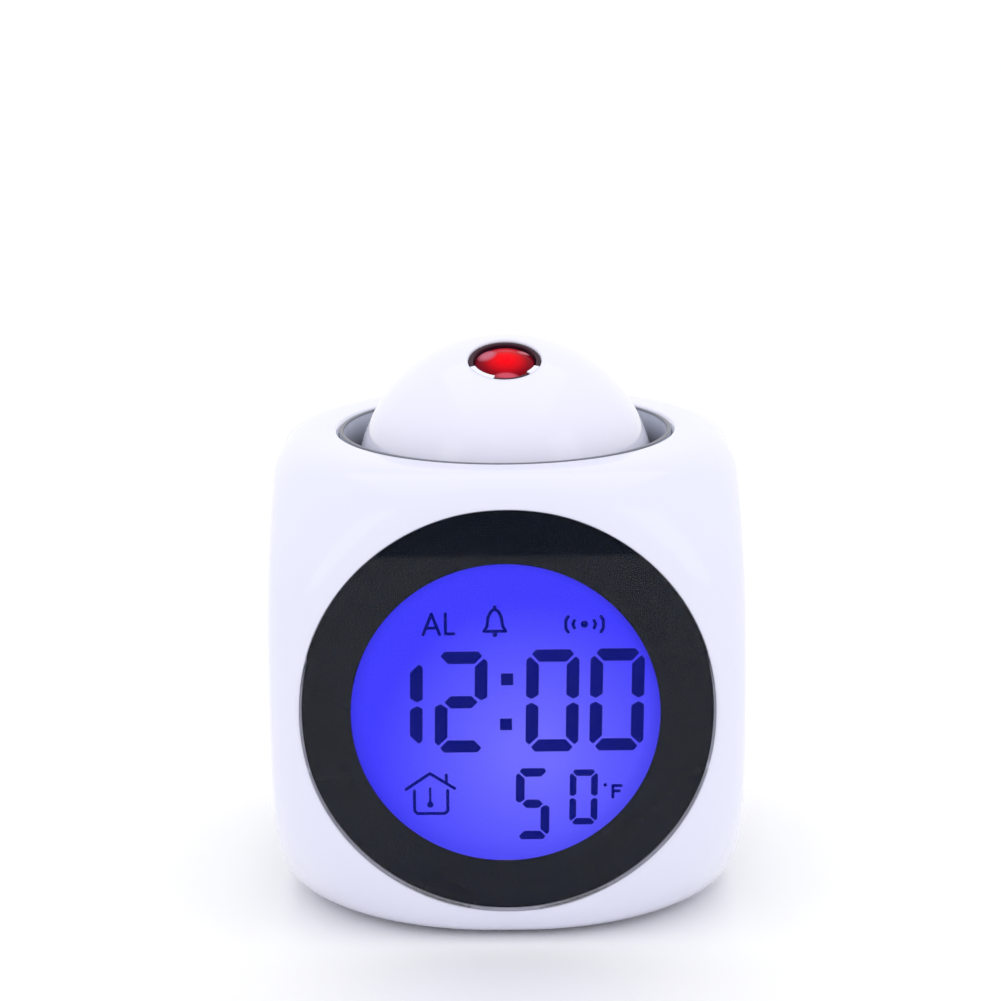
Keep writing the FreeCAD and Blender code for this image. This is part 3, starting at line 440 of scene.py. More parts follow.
def borderFinish():
    # black print under gloss, with less gloss in a band along the top: a painted dark reflection
    look = borderLook
    finish = Finish("border_black")
    z = finish.centred(caseMiddle)[2]
    # full coat below the band, thin coat in it: the painted dark reflection
    below = ((look["darkReflectionHeight"] - z) / look["darkReflectionSoftness"] + 0.5).clamped()
    drift = finish.noise(*look["drift"])
    return finish.set(Base_Color=finish.uneven(drift, look["colour"], look["variation"]),
                      Roughness=0.4, Specular_IOR_Level=0.0,
                      Coat_Weight=below * (look["coat"] - look["darkReflectionCoat"]) + look["darkReflectionCoat"],
                      Coat_Roughness=plasticLook["coatRoughness"])


lensTilt = radians(21)
lensLook = {
    "unlit": (0.12, 0.0, 0.005, 1.0), "ior": 1.08, "radius": 6.0, "glowCentre": (0.2, -0.3),
    "paintedReflectionReach": 1.25,
    # glow by distance from its centre, as a share of the radius
    "glow": [(0.10, (1.0, 0.0, 0.002)), (0.42, (0.60, 0.004, 0.006)), (0.66, (0.16, 0.003, 0.006)),
             (0.84, (0.035, 0.001, 0.005))],
    # painted reflections, soft pale patches: x, y, half width, half height, colour, strength
    "paintedReflections": [
        (-3.1, 1.9, 1.7, 2.2, (0.48, 0.15, 0.22, 1.0), 0.9),
        (3.3, 3.0, 1.2, 0.9, (0.50, 0.20, 0.24, 1.0), 0.9),
        (0.2, 3.6, 2.6, 1.5, (0.55, 0.03, 0.045, 1.0), 0.8),
        (0.3, -4.4, 2.2, 0.6, (0.66, 0.12, 0.18, 1.0), 0.75),
    ],
}


def lensFinish():
    # red acrylic, lit from inside, with painted reflections: pale hazy patches glowing where it would mirror the
    # room
    look = lensLook
    finish = Finish("lens_red")
    x, y, _ = finish.centred(ballCentre, lensTilt)
    glowX, glowY = look["glowCentre"]
    reach = ((x - glowX).squared() + (y - glowY).squared()).math("SQRT")
    colour = finish.ramp(reach / look["radius"], look["glow"])
    for patchX, patchY, halfWidth, halfHeight, tint, strength in look["paintedReflections"]:
        away = ((x - patchX) / halfWidth).squared() + ((y - patchY) / halfHeight).squared()
        # each patch mixes a painted reflection into the glow
        colour = finish.mix((look["paintedReflectionReach"] - away).clamped() * strength, colour, tint)
    return finish.set(Base_Color=look["unlit"], Roughness=0.05, IOR=look["ior"], Emission_Color=colour,
                      Emission_Strength=1.0)


segmentLook = {
    "drift": (120.0, 2.0),
    "glow": [(0.3, (0.000, 0.003, 0.165)), (0.7, (0.001, 0.004, 0.200))],
    "unlit": (0.002, 0.002, 0.01, 1.0),
}


def segmentFinish():
    # dark display segments with the panel's light bleeding through a little
    finish = Finish("segment")
    glow = finish.ramp(finish.noise(*segmentLook["drift"]), segmentLook["glow"])
    return finish.set(Base_Color=segmentLook["unlit"], Roughness=0.5, Emission_Color=glow,
                      Emission_Strength=1.0, Specular_IOR_Level=0.0)


collarLook = {
    "top": shellHigh.z / mm - 0.05, "rim": 29.75, "inner": 28.95, "round": 0.25, "bottom": 75.4,
    "bottomInner": 28.05, "bottomWall": 0.8, "flange": 32.2, "flangeTop": 80.6, "flangeLow": 79.1,
    "outer": 30.6, "steps": 160,
}
wellLook = {
    # colours from the rim down, by shares of the depth at which the wall is dark: a painted shadow line under the
    # rim, the collar's own grey, then painted shade down to black
    "deep": 6.3,
    "greyAndPaintedShade": [(0.04, (0.13, 0.14, 0.18)), (0.07, (0.54, 0.57, 0.66)), (0.16, (0.54, 0.57, 0.66)),
             (1.0, (0.02, 0.02, 0.03))],
    "streaks": (400.0, 3.0, 0.6), "streakStretch": 0.15, "streakFrom": 0.35, "streakStrength": 0.5,
    "streakColour": (0.16, 0.17, 0.21, 1.0),
}


def wellFinish():
    # silver grey collar wall, with painted shade that darkens it deeper in the well and a painted shadow line
    # under the rim
    look = wellLook
    finish = Finish("collar_grey")
    drawn = finish.add("Mapping", {}, {"Vector": finish.place(),
                                                 "Scale": (1.0, 1.0, look["streakStretch"])}, "Vector")
    streaks = finish.noise(*look["streaks"], drawn)
    z = finish.centred(Vector((0, 0, collarLook["top"] * mm)))[2]
    # painted shade: the wall darkens with depth below the rim
    wall = finish.ramp((z / -look["deep"]).clamped(), look["greyAndPaintedShade"])
    share = (streaks - look["streakFrom"]).clamped() * look["streakStrength"]
    return finish.set(Base_Color=finish.mix(share, wall, look["streakColour"]), Roughness=0.35)


finishes.update(segment=segmentFinish(), lcd_blue=displayFinish(), border_black=borderFinish(),
                lens_red=lensFinish(), collar_grey=wellFinish())
for row in frame["record"]["subparts"]:
    node = nodes[row["node"]]
    node.data.materials.clear()
    node.data.materials.append(finishes[row["material_slot"]])
print("finishes made")


# The case: a rounded cube whose corners a ball trims, as two shells that meet at mid depth.
caseLook = {
    "edge": 6.5,  # rounding between the faces
    "ball": 57.07,  # ball that trims the corners
    "blend": 11.57,  # rounding where that ball meets the faces
    "softening": 5.4,  # how gradually that ball's cut sets in at the upright edges
    "segments": 128, "rings": 18, "search": (30.0, 62.0), "searchSteps": 30, "wall": 2.0,
    "windowHole": 35.6, "wellHole": 29.85, "wellBevel": 0.6, "wellDrop": 0.8, "panelHole": 31.1,
    "flat": 33.5,  # a face is flat inside this radius
    "parting": 0.02,  # half the gap between the shells
    "rimRound": 0.25,
    "rimDeep": 0.2,  # a hole's rim lies this close under its face
    "rimSlack": 0.03,
}


def softSmaller(first, second, reach):
    # the smaller of two values, with a smooth change between them
    overlap = max(reach - abs(first - second), 0.0) / reach
    return min(first, second) - overlap * overlap * reach / 4


def outsideCase(point):
    # how far a point in millimetres from the middle lies outside the case
    half, edge, blend = halfCase / mm, caseLook["edge"], caseLook["blend"]
    height = min(abs(point.z), half)
    near = max(height - (half - edge), 0.0)
    width = half - (edge - sqrt(max(edge ** 2 - near ** 2, 0.0)))
    inner = caseLook["ball"] - blend
    if height < (half - blend) * caseLook["ball"] / inner:
        diagonal = sqrt(caseLook["ball"] ** 2 - height ** 2)
    else:
        diagonal = sqrt(inner ** 2 - (half - blend) ** 2) + sqrt(
            max(blend ** 2 - (height - half + blend) ** 2, 0.0))
    sharp = sqrt(2) * half - (sqrt(2) - 1) * edge
    diagonal = softSmaller(sharp, diagonal, caseLook["softening"])
    corner = min((sqrt(2) * width - diagonal) / (sqrt(2) - 1), width)
    x, y = abs(point.x) - (width - corner), abs(point.y) - (width - corner)
    around = hypot(max(x, 0), max(y, 0)) + min(max(x, y), 0) - corner
    return max(around, abs(point.z) - half)


def onCase(direction):
    # the point of the case's skin in one direction from its middle, in millimetres
    direction = direction.normalized()
    low, high = caseLook["search"]
    for _ in range(caseLook["searchSteps"]):
        middle = (low + high) / 2
        if outsideCase(direction * middle) < 0:
            low = middle
        else:
            high = middle
    return direction * low


def casePatch(bm, turn, hole, closed):
    # one face of the case as rings from a circle out to the face's square edge
    count, rings = caseLook["segments"], caseLook["rings"]
    start = hole * mm / halfCase
    circle = bmesh.ops.create_circle(bm, segments=count, radius=1.0)["verts"]
    edges = list({edge for v in circle for edge in v.link_edges})
    for v in circle:
        v.co = (v.co.x * start, v.co.y * start, 1)
    if closed:
        bmesh.ops.contextual_create(bm, geom=edges)
    made = list(circle)
    for ring in range(1, rings + 1):
        extruded = bmesh.ops.extrude_edge_only(bm, edges=edges)["geom"]
        fresh = set(vertsIn(extruded))
        edges = [item for item in extruded if isinstance(item, bmesh.types.BMEdge)
                 and item.verts[0] in fresh and item.verts[1] in fresh]
        share = ring / rings
        for v in fresh:
            way = v.co.to_2d().normalized()
            square = way / max(abs(way.x), abs(way.y))
            v.co = (*(way * start).lerp(square, share), 1)
        made += fresh
    bmesh.ops.transform(bm, matrix=turn, verts=made)


def skinMesh():
    # the whole outer skin with its three holes
    bm = bmesh.new()
    quarter = pi / 2
    faces = [
        (Matrix.Rotation(quarter, 4, "X"), caseLook["windowHole"], False),
        (Matrix.Rotation(-quarter, 4, "X"), caseLook["panelHole"], False),
        (Matrix.Identity(4), caseLook["wellHole"] + caseLook["wellBevel"], False),
        (Matrix.Rotation(pi, 4, "X"), caseLook["flat"], True),
        (Matrix.Rotation(quarter, 4, "Y"), caseLook["flat"], True),
        (Matrix.Rotation(-quarter, 4, "Y"), caseLook["flat"], True),
    ]
    for face in faces:
        casePatch(bm, *face)
    bmesh.ops.remove_doubles(bm, verts=bm.verts, dist=1e-4)
    for v in bm.verts:
        v.co = onCase(v.co) * mm + caseMiddle
    bmesh.ops.recalc_face_normals(bm, faces=bm.faces)
    return bm


def bevelWell(bm):
    # carries the rim of the well's hole into the case as a bevel
    rim = [edge for edge in bm.edges
           if edge.is_boundary and min(v.co.z for v in edge.verts) > shellHigh.z - mm]
    for v in vertsIn(bmesh.ops.extrude_edge_only(bm, edges=rim)["geom"]):
        level = v.co.z - caseLook["wellDrop"] * mm
        flat = v.co.to_2d()
        flat.length -= caseLook["wellBevel"] * mm
        v.co = (*flat, level)


def roundRim(piece, axis, side, radius):
    # rounds the outer edge of a hole
    look = caseLook
    bm = bmesh.new()
    bm.from_mesh(piece.data)
    rim = []
    for edge in bm.edges:
        spots = [v.co - caseMiddle for v in edge.verts]
        levels = [spot[axis] * side for spot in spots]
        for spot in spots:
            spot[axis] = 0
        reach = max(spot.length for spot in spots)
        if min(levels) > halfCase - look["rimDeep"] * mm and reach < (radius + look["rimSlack"]) * mm:
            rim.append(edge)
    roundEdges(bm, rim, look["rimRound"], 3)
    bm.to_mesh(piece.data)
    bm.free()
    piece.data.set_sharp_from_angle(angle=radians(creaseAngle))


def shellPiece(name, node, side):
    # one half of the skin with its wall, its round rims and its openings
    look = caseLook
    bm = skinMesh()
    bevelWell(bm)
    geometry = bm.verts[:] + bm.edges[:] + bm.faces[:]
    cut = caseMiddle + Vector((0, side * look["parting"] * mm, 0))
    bmesh.ops.bisect_plane(bm, geom=geometry, dist=1e-7, plane_co=cut, plane_no=(0, side, 0),
                           clear_inner=True)
    bmesh.ops.recalc_face_normals(bm, faces=bm.faces)
    piece = keepFaces(name, bm, "case", "case_white")
    wall = piece.modifiers.new("wall", "SOLIDIFY")
    wall.thickness = look["wall"] * mm
    wall.offset = -1
    wall.use_even_offset = True
    settle(piece)
    roundRim(piece, 1, side, look["windowHole"] if side < 0 else look["panelHole"])
    roundRim(piece, 2, 1, look["wellHole"] + look["wellBevel"])
    carve(piece, openingTools(side))
    if side < 0:
        carve(piece, notchTool())
    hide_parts(node)


openingLook = {
    "below": -3.0,  # cutting shapes start under the base
    "trayGap": 0.15, "trayTop": 4.0, "footGap": 0.1, "footDeep": 0.5, "notchRadius": 5.0,
    "notchDeep": 0.9, "wellRadius": 2.4, "wellReach": (30.0, 45.0), "postRadius": 2.9,
    "shankRadius": 1.3, "wellFloor": 4.0,
    "wellMouth": 1.4,  # the tubes end this far under the back
    "floorSkin": 1.5,
}
footRadius = 3.4
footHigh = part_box("rubber_feet")[1]
footPlaces = [(x * (footHigh.x / mm - footRadius), y * (footHigh.y / mm - footRadius))
              for x in (-1, 1) for y in (-1, 1)]
baseHeight = shellLow.z / mm
trayHalfX = 26.4  # the tray's mouth without its flange
trayHalfY = 18.1
screwHeadRadius = 2.2
screwLow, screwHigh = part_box("case_screws")
screwX = screwHigh.x / mm - screwHeadRadius
screwHeights = [screwHigh.z / mm - screwHeadRadius, screwLow.z / mm + screwHeadRadius]
screwPlaces = [(x, height) for height in screwHeights for x in (-screwX, screwX)]


def openingTools(side):
    # the battery mouth, foot seats and screw wells, as shapes to cut away
    look = openingLook
    bm = bmesh.new()
    reachX, reachY = trayHalfX + look["trayGap"], trayHalfY + look["trayGap"]
    addBlock(bm, (-reachX, -reachY, look["below"]), (reachX, reachY, look["trayTop"]))
    for x, y in footPlaces:
        if y * side > 0:
            addBar(bm, footRadius + look["footGap"], look["below"], baseHeight + look["footDeep"], x, y)
    if side > 0:
        for x, height in screwPlaces:
            addBar(bm, look["wellRadius"], *look["wellReach"], x, height, alongY=True)
    return bm


def notchTool():
    # the thumb notch in front of the battery door
    look = openingLook
    bm = bmesh.new()
    addBar(bm, look["notchRadius"], look["below"], baseHeight + look["notchDeep"], 0, -trayHalfY)
    return bm


def makeScrewWells():
    # the tubes that lead the case screws to their seats
    look = openingLook
    floor, end = look["wellFloor"], halfCase / mm - look["wellMouth"]
    bm = bmesh.new()
    for x, height in screwPlaces:
        tube = turnedShape([(look["shankRadius"], floor - look["floorSkin"]),
                            (look["postRadius"], floor - look["floorSkin"]), (look["postRadius"], end),
                            (look["wellRadius"], end), (look["wellRadius"], floor),
                            (look["shankRadius"], floor)], 48)
        absorb(bm, aboutY(tube, x, 0, height))
    newPiece("screwWells", bm, "case", "case_white")


ledgeLook = {"inner": 28.2, "outer": 37.5, "gap": 0.01}


def makeLedge():
    # the ring behind the window's border that the display rests against
    inner, outer = ledgeLook["inner"], ledgeLook["outer"]
    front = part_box("window_border")[1].y / mm + ledgeLook["gap"]
    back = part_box("lcd_panel")[0].y / mm - ledgeLook["gap"]
    ring = turnedShape([(inner, back), (outer, back), (outer, front), (inner, front)])
    newPiece("displayLedge", aboutY(ring, 0, 0, caseMiddle.z / mm), "case", "frame_grey")


shellPiece("caseFront", "front_shell", -1)
shellPiece("caseRear", "rear_shell", 1)
makeScrewWells()
makeLedge()
print("case made")


# The projector ball and the collar of its well.
ballLook = {
    "wall": 1.8, "seam": 0.12,
    "seamGap": 0.01,  # half the gap between the halves
    "opening": 6.4, "openingRound": 0.5,
    "roundStart": 75,  # degrees at which the opening's rounding leaves the ball
    "seatDepth": 5.0, "seatWall": 1.6, "outerSteps": 96, "innerSteps": 48,
}
inBall = Matrix.Translation(ballCentre) @ Matrix.Rotation(lensTilt, 4, "X")


def makeBall():
    # both halves of the ball, the upper one with the lens's seat
    look = ballLook
    radius = ballRadius / mm
    inner = radius - look["wall"]
    seam, gap, opening, rounding = look["seam"], look["seamGap"], look["opening"], look["openingRound"]
    edgeRadius = opening + rounding
    rimHeight = sqrt(radius ** 2 - edgeRadius ** 2)
    rimAngle = degrees(acos(edgeRadius / radius))
    seamAngle = degrees(asin(seam / radius))
    floorHeight = rimHeight - look["seatDepth"]
    seat = opening + look["seatWall"]
    seatAngle = degrees(acos(seat / inner))
    upper = [(radius - seam, gap)] + arcPoints((0, 0), radius, seamAngle, rimAngle, look["outerSteps"])
    upper += arcPoints((edgeRadius, rimHeight - rounding), rounding, look["roundStart"], 180, 8)
    upper += [(opening, floorHeight), (seat, floorHeight)]
    upper += arcPoints((0, 0), inner, seatAngle, 0, look["innerSteps"])
    lower = [(radius - seam, -gap)] + arcPoints((0, 0), radius, -seamAngle, -90, look["outerSteps"])
    lower += arcPoints((0, 0), inner, -90, 0, look["innerSteps"])
    for name, profile in (("ballUpper", upper), ("ballLower", lower)):
        newPiece(name, moved(turnedShape(profile), inBall), "projector_ball", "ball_white", crease=40)
    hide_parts("ball_upper_shell")
    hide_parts("ball_lower_shell")


def makeCollar():
    # the collar of the well, with the flange that the case holds
    look = collarLook
    rounding = look["round"]
    profile = [(look["rim"], look["flangeTop"])]
    profile += arcPoints((look["rim"] - rounding, look["top"] - rounding), rounding, 0, 90, 4)
    profile += arcPoints((look["inner"] + rounding, look["top"] - rounding), rounding, 90, 180, 4)
    profile += [(look["bottomInner"], look["bottom"]),
                (look["bottomInner"] + look["bottomWall"], look["bottom"]),
                (look["outer"], look["flangeLow"]), (look["flange"], look["flangeLow"]),
                (look["flange"], look["flangeTop"])]
    collar = newPiece("wellCollar", turnedShape(profile, look["steps"]), "case", "frame_grey",
                      "collar_grey")
    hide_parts("well_collar")


bezelLook = {
    "inner": 5.5, "outer": 6.38, "bevel": 0.28, "deep": 3.2, "drop": 0.5,
    # white tabs over the ring: from and to in degrees from the right, seen along the lens
    "tabs": [(202, 252), (314, 338)],
    "tabInner": 5.6, "tabOuter": 6.55, "tabLift": 0.02, "tabTop": 0.34, "tabSteps": 14, "steps": 96,
}


def makeBezel():
    # the dark ring round the lens and the white tabs over it
    look = bezelLook
    top = sqrt((ballRadius / mm) ** 2 - ballLook["opening"] ** 2) - look["drop"]
    inner, outer, bevel = look["inner"], look["outer"], look["bevel"]
    profile = [(outer, top - look["deep"])]
    profile += arcPoints((outer - bevel, top - bevel), bevel, 0, 90, 5)
    profile += arcPoints((inner + bevel, top - bevel), bevel, 90, 180, 5)
    profile += [(inner, top - look["deep"])]
    bezel = newPiece("lensRing", moved(turnedShape(profile, look["steps"]), inBall), "projector_ball",
                     "bezel_dark", crease=50)
    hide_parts("lens_bezel")
    low, high = top + look["tabLift"], top + look["tabTop"]
    section = [(look["tabInner"], low), (look["tabOuter"], low),
               (look["tabOuter"], high), (look["tabInner"], high)]
    bm = bmesh.new()
    for start, end in look["tabs"]:
        turn = Matrix.Rotation(radians(start), 3, "Z")
        face = bm.faces.new([bm.verts.new(turn @ Vector((radius * mm, 0, height * mm)))
                             for radius, height in section])
        bmesh.ops.spin(bm, geom=[face], axis=(0, 0, 1), cent=(0, 0, 0), angle=radians(end - start),
                       steps=look["tabSteps"])
    bmesh.ops.contextual_create(bm, geom=[edge for edge in bm.edges if edge.is_boundary])
    newPiece("lensTabs", moved(bm, inBall), "projector_ball", "ball_white", crease=50)


makeBall()
makeCollar()
makeBezel()
print("ball and collar made")


# What the display shows: plain seven-bar digits and generic symbols, as thin raised film.
displayLook = {
    "face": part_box("lcd_panel")[0].y,
    "film": 0.05, "lean": 0.018,
    "digits": [
        # figure, left, foot, width, height, stroke in millimetres from the middle of the display
        ("1", -23.60, -7.20, 9.0, 16.6, 2.15),
        ("2", -12.52, -7.55, 8.9, 17.9, 2.15),
        ("0", 2.96, -7.50, 9.0, 18.1, 2.15),
        ("0", 13.85, -7.40, 9.2, 18.1, 2.15),
        ("5", 1.12, -23.30, 5.8, 12.8, 1.50),
        ("0", 10.39, -20.70, 4.8, 9.9, 1.15),
    ],
    "colon": [(-0.05, 5.40), (-0.30, -2.60)],
    "colonHalf": 1.03,
}
digitBars = {
    "1": "bc",
    "2": "abged",
    "5": "afgcd",
    "0": "abcdef",
}


barLook = {
    # shares of the figure's width
    "endInset": 0.18, "tipInset": 0.105,
    # shares of the stroke: the lying bars, the standing bars and the middle bar
    "tip": 0.37, "cornerIn": 1.02,
    "shoulder": 0.85, "shoulderIn": 0.30, "shoulderUp": 0.58, "innerTop": 1.25, "innerFoot": 0.50,
    "pointIn": 0.45, "pointUp": 0.15, "heelUp": 0.40, "middleTip": 0.75,
}


def barShapes(width, height, stroke):
    # the seven bars of a figure, each a six-cornered outline
    middle = height / 2
    part = {name: share * stroke for name, share in barLook.items()}
    end, tipEnd = barLook["endInset"] * width, barLook["tipInset"] * width
    near, far = part["middleTip"], part["middleTip"] + stroke / 2

    def across(points):
        return [(width - x, y) for x, y in points]

    def over(points):
        return [(x, height - y) for x, y in points]

    top = [(end, height), (width - end, height), (width - tipEnd, height - part["tip"]),
           (width - part["cornerIn"], height - stroke), (part["cornerIn"], height - stroke),
           (tipEnd, height - part["tip"])]
    upper = [(0, height - part["shoulder"]), (part["shoulderIn"], height - part["shoulderUp"]),
             (stroke, height - part["innerTop"]), (stroke, middle + part["innerFoot"]),
             (part["pointIn"], middle + part["pointUp"]), (0, middle + part["heelUp"])]
    centre = [(near, middle), (far, middle + stroke / 2), (width - far, middle + stroke / 2),
              (width - near, middle), (width - far, middle - stroke / 2), (far, middle - stroke / 2)]
    return {"a": top, "f": upper, "b": across(upper), "e": over(upper), "c": across(over(upper)),
            "d": over(top), "g": centre}


def raiseFaces(bm, faces, rise):
    # gives flat faces a thickness along Y
    lifted = bmesh.ops.extrude_face_region(bm, geom=faces)["geom"]
    bmesh.ops.translate(bm, vec=(0, rise, 0), verts=vertsIn(lifted))


def addPlate(bm, outline):
    # a plate of film, from points in millimetres about the middle of the display
    face = displayLook["face"]
    corners = [bm.verts.new((x * mm, face, caseMiddle.z + height * mm)) for x, height in outline]
    raiseFaces(bm, [bm.faces.new(corners)], -displayLook["film"] * mm)


def makeDigits():
    bm = bmesh.new()
    for figure, left, foot, width, height, stroke in displayLook["digits"]:
        bars = barShapes(width, height, stroke)
        for name in digitBars[figure]:
            addPlate(bm, [(left + x + displayLook["lean"] * y, foot + y) for x, y in bars[name]])
    half = displayLook["colonHalf"]
    for x, height in displayLook["colon"]:
        addPlate(bm, [(x - half, height - half), (x + half, height - half),
                      (x + half, height + half), (x - half, height + half)])
    newPiece("displayDigits", bm, "case", "border_black", "segment")


iconLook = {
    "stroke": 0.52,
    # each line: points in millimetres from the middle of the display
    "lines": [
        [(-14.2, 13.4), (-12.75, 17.0), (-11.4, 13.4)],
        [(-13.75, 14.55), (-11.85, 14.55)],
        [(-10.4, 17.0), (-10.4, 13.5), (-9.0, 13.5)],
        [(-3.9, 13.9), (-3.35, 14.8), (-3.2, 16.3), (-2.7, 17.35), (-2.05, 17.8), (-1.4, 17.35),
         (-0.9, 16.3), (-0.75, 14.8), (-0.2, 13.9), (-3.9, 13.9)],
        [(10.35, 16.35), (9.95, 15.7), (9.95, 14.3), (10.35, 13.65)],
        [(11.4, 15.65), (11.15, 15.0), (11.4, 14.35)],
        [(14.75, 15.65), (15.0, 15.0), (14.75, 14.35)],
        [(15.9, 16.35), (16.3, 15.7), (16.3, 14.3), (15.9, 13.65)],
        [(-17.5, -14.1), (-13.4, -11.3), (-9.2, -14.0)],
        [(-16.1, -14.4), (-16.1, -18.0), (-15.6, -18.5), (-10.9, -18.5), (-10.4, -18.0),
         (-10.4, -14.4)],
        [(-10.6, -12.8), (-10.6, -11.6)],
        [(17.9, -13.75), (17.9, -15.8)],
        [(17.9, -13.75), (19.3, -13.75)],
        [(17.9, -14.7), (19.0, -14.7)],
    ],
    "dots": [(-2.05, 13.3, 0.42), (13.1, 15.0, 0.62), (-13.4, -16.9, 0.55), (16.6, -13.6, 0.30),
             (-2.05, 18.15, 0.30)],
    "stem": [(-13.4, -14.0), (-13.4, -16.6)],
    "stemWidth": 0.4,
}


def strokeMesh(bm, points, width):
    # a line of even width: one plate for each stretch and a disc at each point
    for start, end in zip(map(Vector, points), map(Vector, points[1:])):
        along = (end - start).normalized()
        side = Vector((-along.y, along.x)) * width / 2
        addPlate(bm, [start - side, end - side, end + side, start + side])
    for x, height in points:
        addDisc(bm, x, height, width / 2)


def circlePoints(radius, steps, x=0.0, height=0.0):
    angles = [2 * pi * i / steps for i in range(steps)]
    return [(x + radius * cos(a), height + radius * sin(a)) for a in angles]


def addDisc(bm, x, height, radius):
    addPlate(bm, circlePoints(radius, 20, x, height))


def makeIcons():
    bm = bmesh.new()
    for points in iconLook["lines"]:
        strokeMesh(bm, points, iconLook["stroke"])
    strokeMesh(bm, iconLook["stem"], iconLook["stemWidth"])
    for x, height, radius in iconLook["dots"]:
        addDisc(bm, x, height, radius)
    newPiece("displayIcons", bm, "case", "border_black", "segment")


def makeBorder():
    # the printed ring, a hair behind the window
    look = borderLook
    low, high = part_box("window_border")
    outer = (high.x - low.x) / 2 / mm
    inner, thick = look["opening"], look["thick"]
    ring = turnedShape([(inner, 0), (outer, 0), (outer, thick), (inner, thick)], look["steps"])
    shift = look["openingShift"] * mm
    for v in ring.verts:
        if v.co.to_2d().length < (inner + outer) / 2 * mm:
            v.co += Vector((-shift, shift, 0))
    border = newPiece("displayRing", aboutY(ring, 0, low.y / mm + look["gap"], caseMiddle.z / mm),
                      "case", "border_black")
    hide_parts("window_border")


makeBorder()
makeDigits()
makeIcons()
print("display drawn")


# Keys, slide knob and printed signs of the control panel.
keyLook = {
    "radius": 3.3, "rounding": 0.5, "dish": 0.18,
    "dishReach": 0.7,  # share of the radius that the dish takes
    "signDepth": 0.75,  # share of the dish's depth at which the sign lies
    "flange": 4.0, "flangeThick": 0.8, "stem": 1.4, "gap": 0.3, "panelThick": 1.4, "steps": 72,
    "signs": {"mode_key": "ring", "set_key": "dot", "up_key": "up", "down_key": "down"},
}
signLook = {
    "lift": 0.02, "thick": 0.04, "half": 1.25, "foot": 0.85, "dot": 0.75, "ringInner": 0.85,
    "steps": 32,
    "beside": [("dot", -7.2), ("ring", 7.6)],  # signs left and right of the slide knob
}
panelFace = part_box("rear_panel")[1].y / mm


def middleOf(node):
    # the middle of a node across and up, in millimetres
    low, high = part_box(node)
    return (low.x + high.x) / 2 / mm, (low.z + high.z) / 2 / mm


def signOutline(kind):
    # the outlines of a printed sign, in millimetres about its middle
    half, foot = signLook["half"], signLook["foot"]
    if kind in ("up", "down"):
        way = 1 if kind == "up" else -1
        return [[(-half, -foot * way), (half, -foot * way), (0, half * way)]]
    if kind == "dot":
        return [circlePoints(signLook["dot"], signLook["steps"])]
    return [circlePoints(radius, signLook["steps"]) for radius in (half, signLook["ringInner"])]


def addSign(bm, kind, x, height, depth):
    # a thin printed shape that faces the back
    level = (depth + signLook["lift"]) * mm
    loops = [[bm.verts.new(((x + a) * mm, level, (height + b) * mm)) for a, b in outline]
             for outline in signOutline(kind)]
    if len(loops) == 1:
        faces = [bm.faces.new(loops[0])]
    else:
        edges = [bm.edges.new((loop[i - 1], loop[i])) for loop in loops for i in range(len(loop))]
        faces = bmesh.ops.bridge_loops(bm, edges=edges)["faces"]
    raiseFaces(bm, faces, signLook["thick"] * mm)


def makeKeys():
    # keys with a dished top and a flange behind the panel
    look = keyLook
    flangeTop = panelFace - look["panelThick"] - look["gap"]
    flangeLow = flangeTop - look["flangeThick"]
    radius, rounding, flange = look["radius"], look["rounding"], look["flange"]
    for node, sign in look["signs"].items():
        middle, height = middleOf(node)
        low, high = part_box(node)
        back, front = low.y / mm, high.y / mm
        profile = [(0, back), (look["stem"], back), (look["stem"], flangeLow), (flange, flangeLow),
                   (flange, flangeTop), (radius, flangeTop)]
        profile += arcPoints((radius - rounding, front - rounding), rounding, 0, 90, 6)
        profile += [(radius * look["dishReach"] * share, front - look["dish"] * (1 - share ** 2))
                    for share in (0.9, 0.6, 0.3, 0)]
        cap = newPiece(node.replace("_key", "Cap"),
                       aboutY(turnedShape(profile, look["steps"]), middle, 0, height),
                       node, "key_white", crease=50)
        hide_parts(node)
        bm = bmesh.new()
        addSign(bm, sign, middle, height, front - look["dish"] * look["signDepth"])
        newPiece(node.replace("_key", "Sign"), bm, node, "key_white", "print_grey")


def makePanelSigns():
    bm = bmesh.new()
    for kind, x in signLook["beside"]:
        addSign(bm, kind, x, middleOf("slide_knob")[1], panelFace - signLook["lift"] / 2)
    newPiece("panelSigns", bm, "case", "panel_white", "print_grey")


knobLook = {"pitch": 1.1, "half": 0.22, "sunk": 0.1, "proud": 0.09, "halfHigh": 1.15, "round": 0.05}


def makeKnobRibs():
    # three fine grips on the slide knob
    look = knobLook
    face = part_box("slide_knob")[1].y / mm
    middle, height = middleOf("slide_knob")
    bm = bmesh.new()
    for step in (-1, 0, 1):
        x = middle + step * look["pitch"]
        made = addBlock(bm, (x - look["half"], face - look["sunk"], height - look["halfHigh"]),
                        (x + look["half"], face + look["proud"], height + look["halfHigh"]))
        tips = {edge for v in made for edge in v.link_edges
                if min(w.co.y for w in edge.verts) > face * mm}
        roundEdges(bm, tips, look["round"], 2)
    newPiece("knobGrips", bm, "slider", "key_white")


makeKeys()
makePanelSigns()
makeKnobRibs()
print("controls made")


# Feet, battery door grips and the springs.
footLook = {"round": 0.25, "top": 1.1}
doorLook = {
    "gripHalf": 7.0, "gripTaper": 0.9, "gripCount": 5, "gripPitch": 1.5, "gripWide": 0.35,
    "gripProud": 0.3, "gripSunk": 0.2, "gripRound": 0.2, "inset": 2.6,
}
springLook = {
    "turns": 4.5,
    "flatTurns": 0.75,  # both ends lie flat over this many turns
    "flatRise": 0.18, "wire": 0.45, "coil": 7.6, "steps": 40, "keep": 0.765,
}
contactLook = {
    "turns": 5, "wire": 0.28, "wide": 2.9, "tip": 1.5, "length": 4.2, "steps": 24,
    "places": [(-11.0, -1), (0.0, 1), (11.0, -1)],  # depth, and side of the tray
}


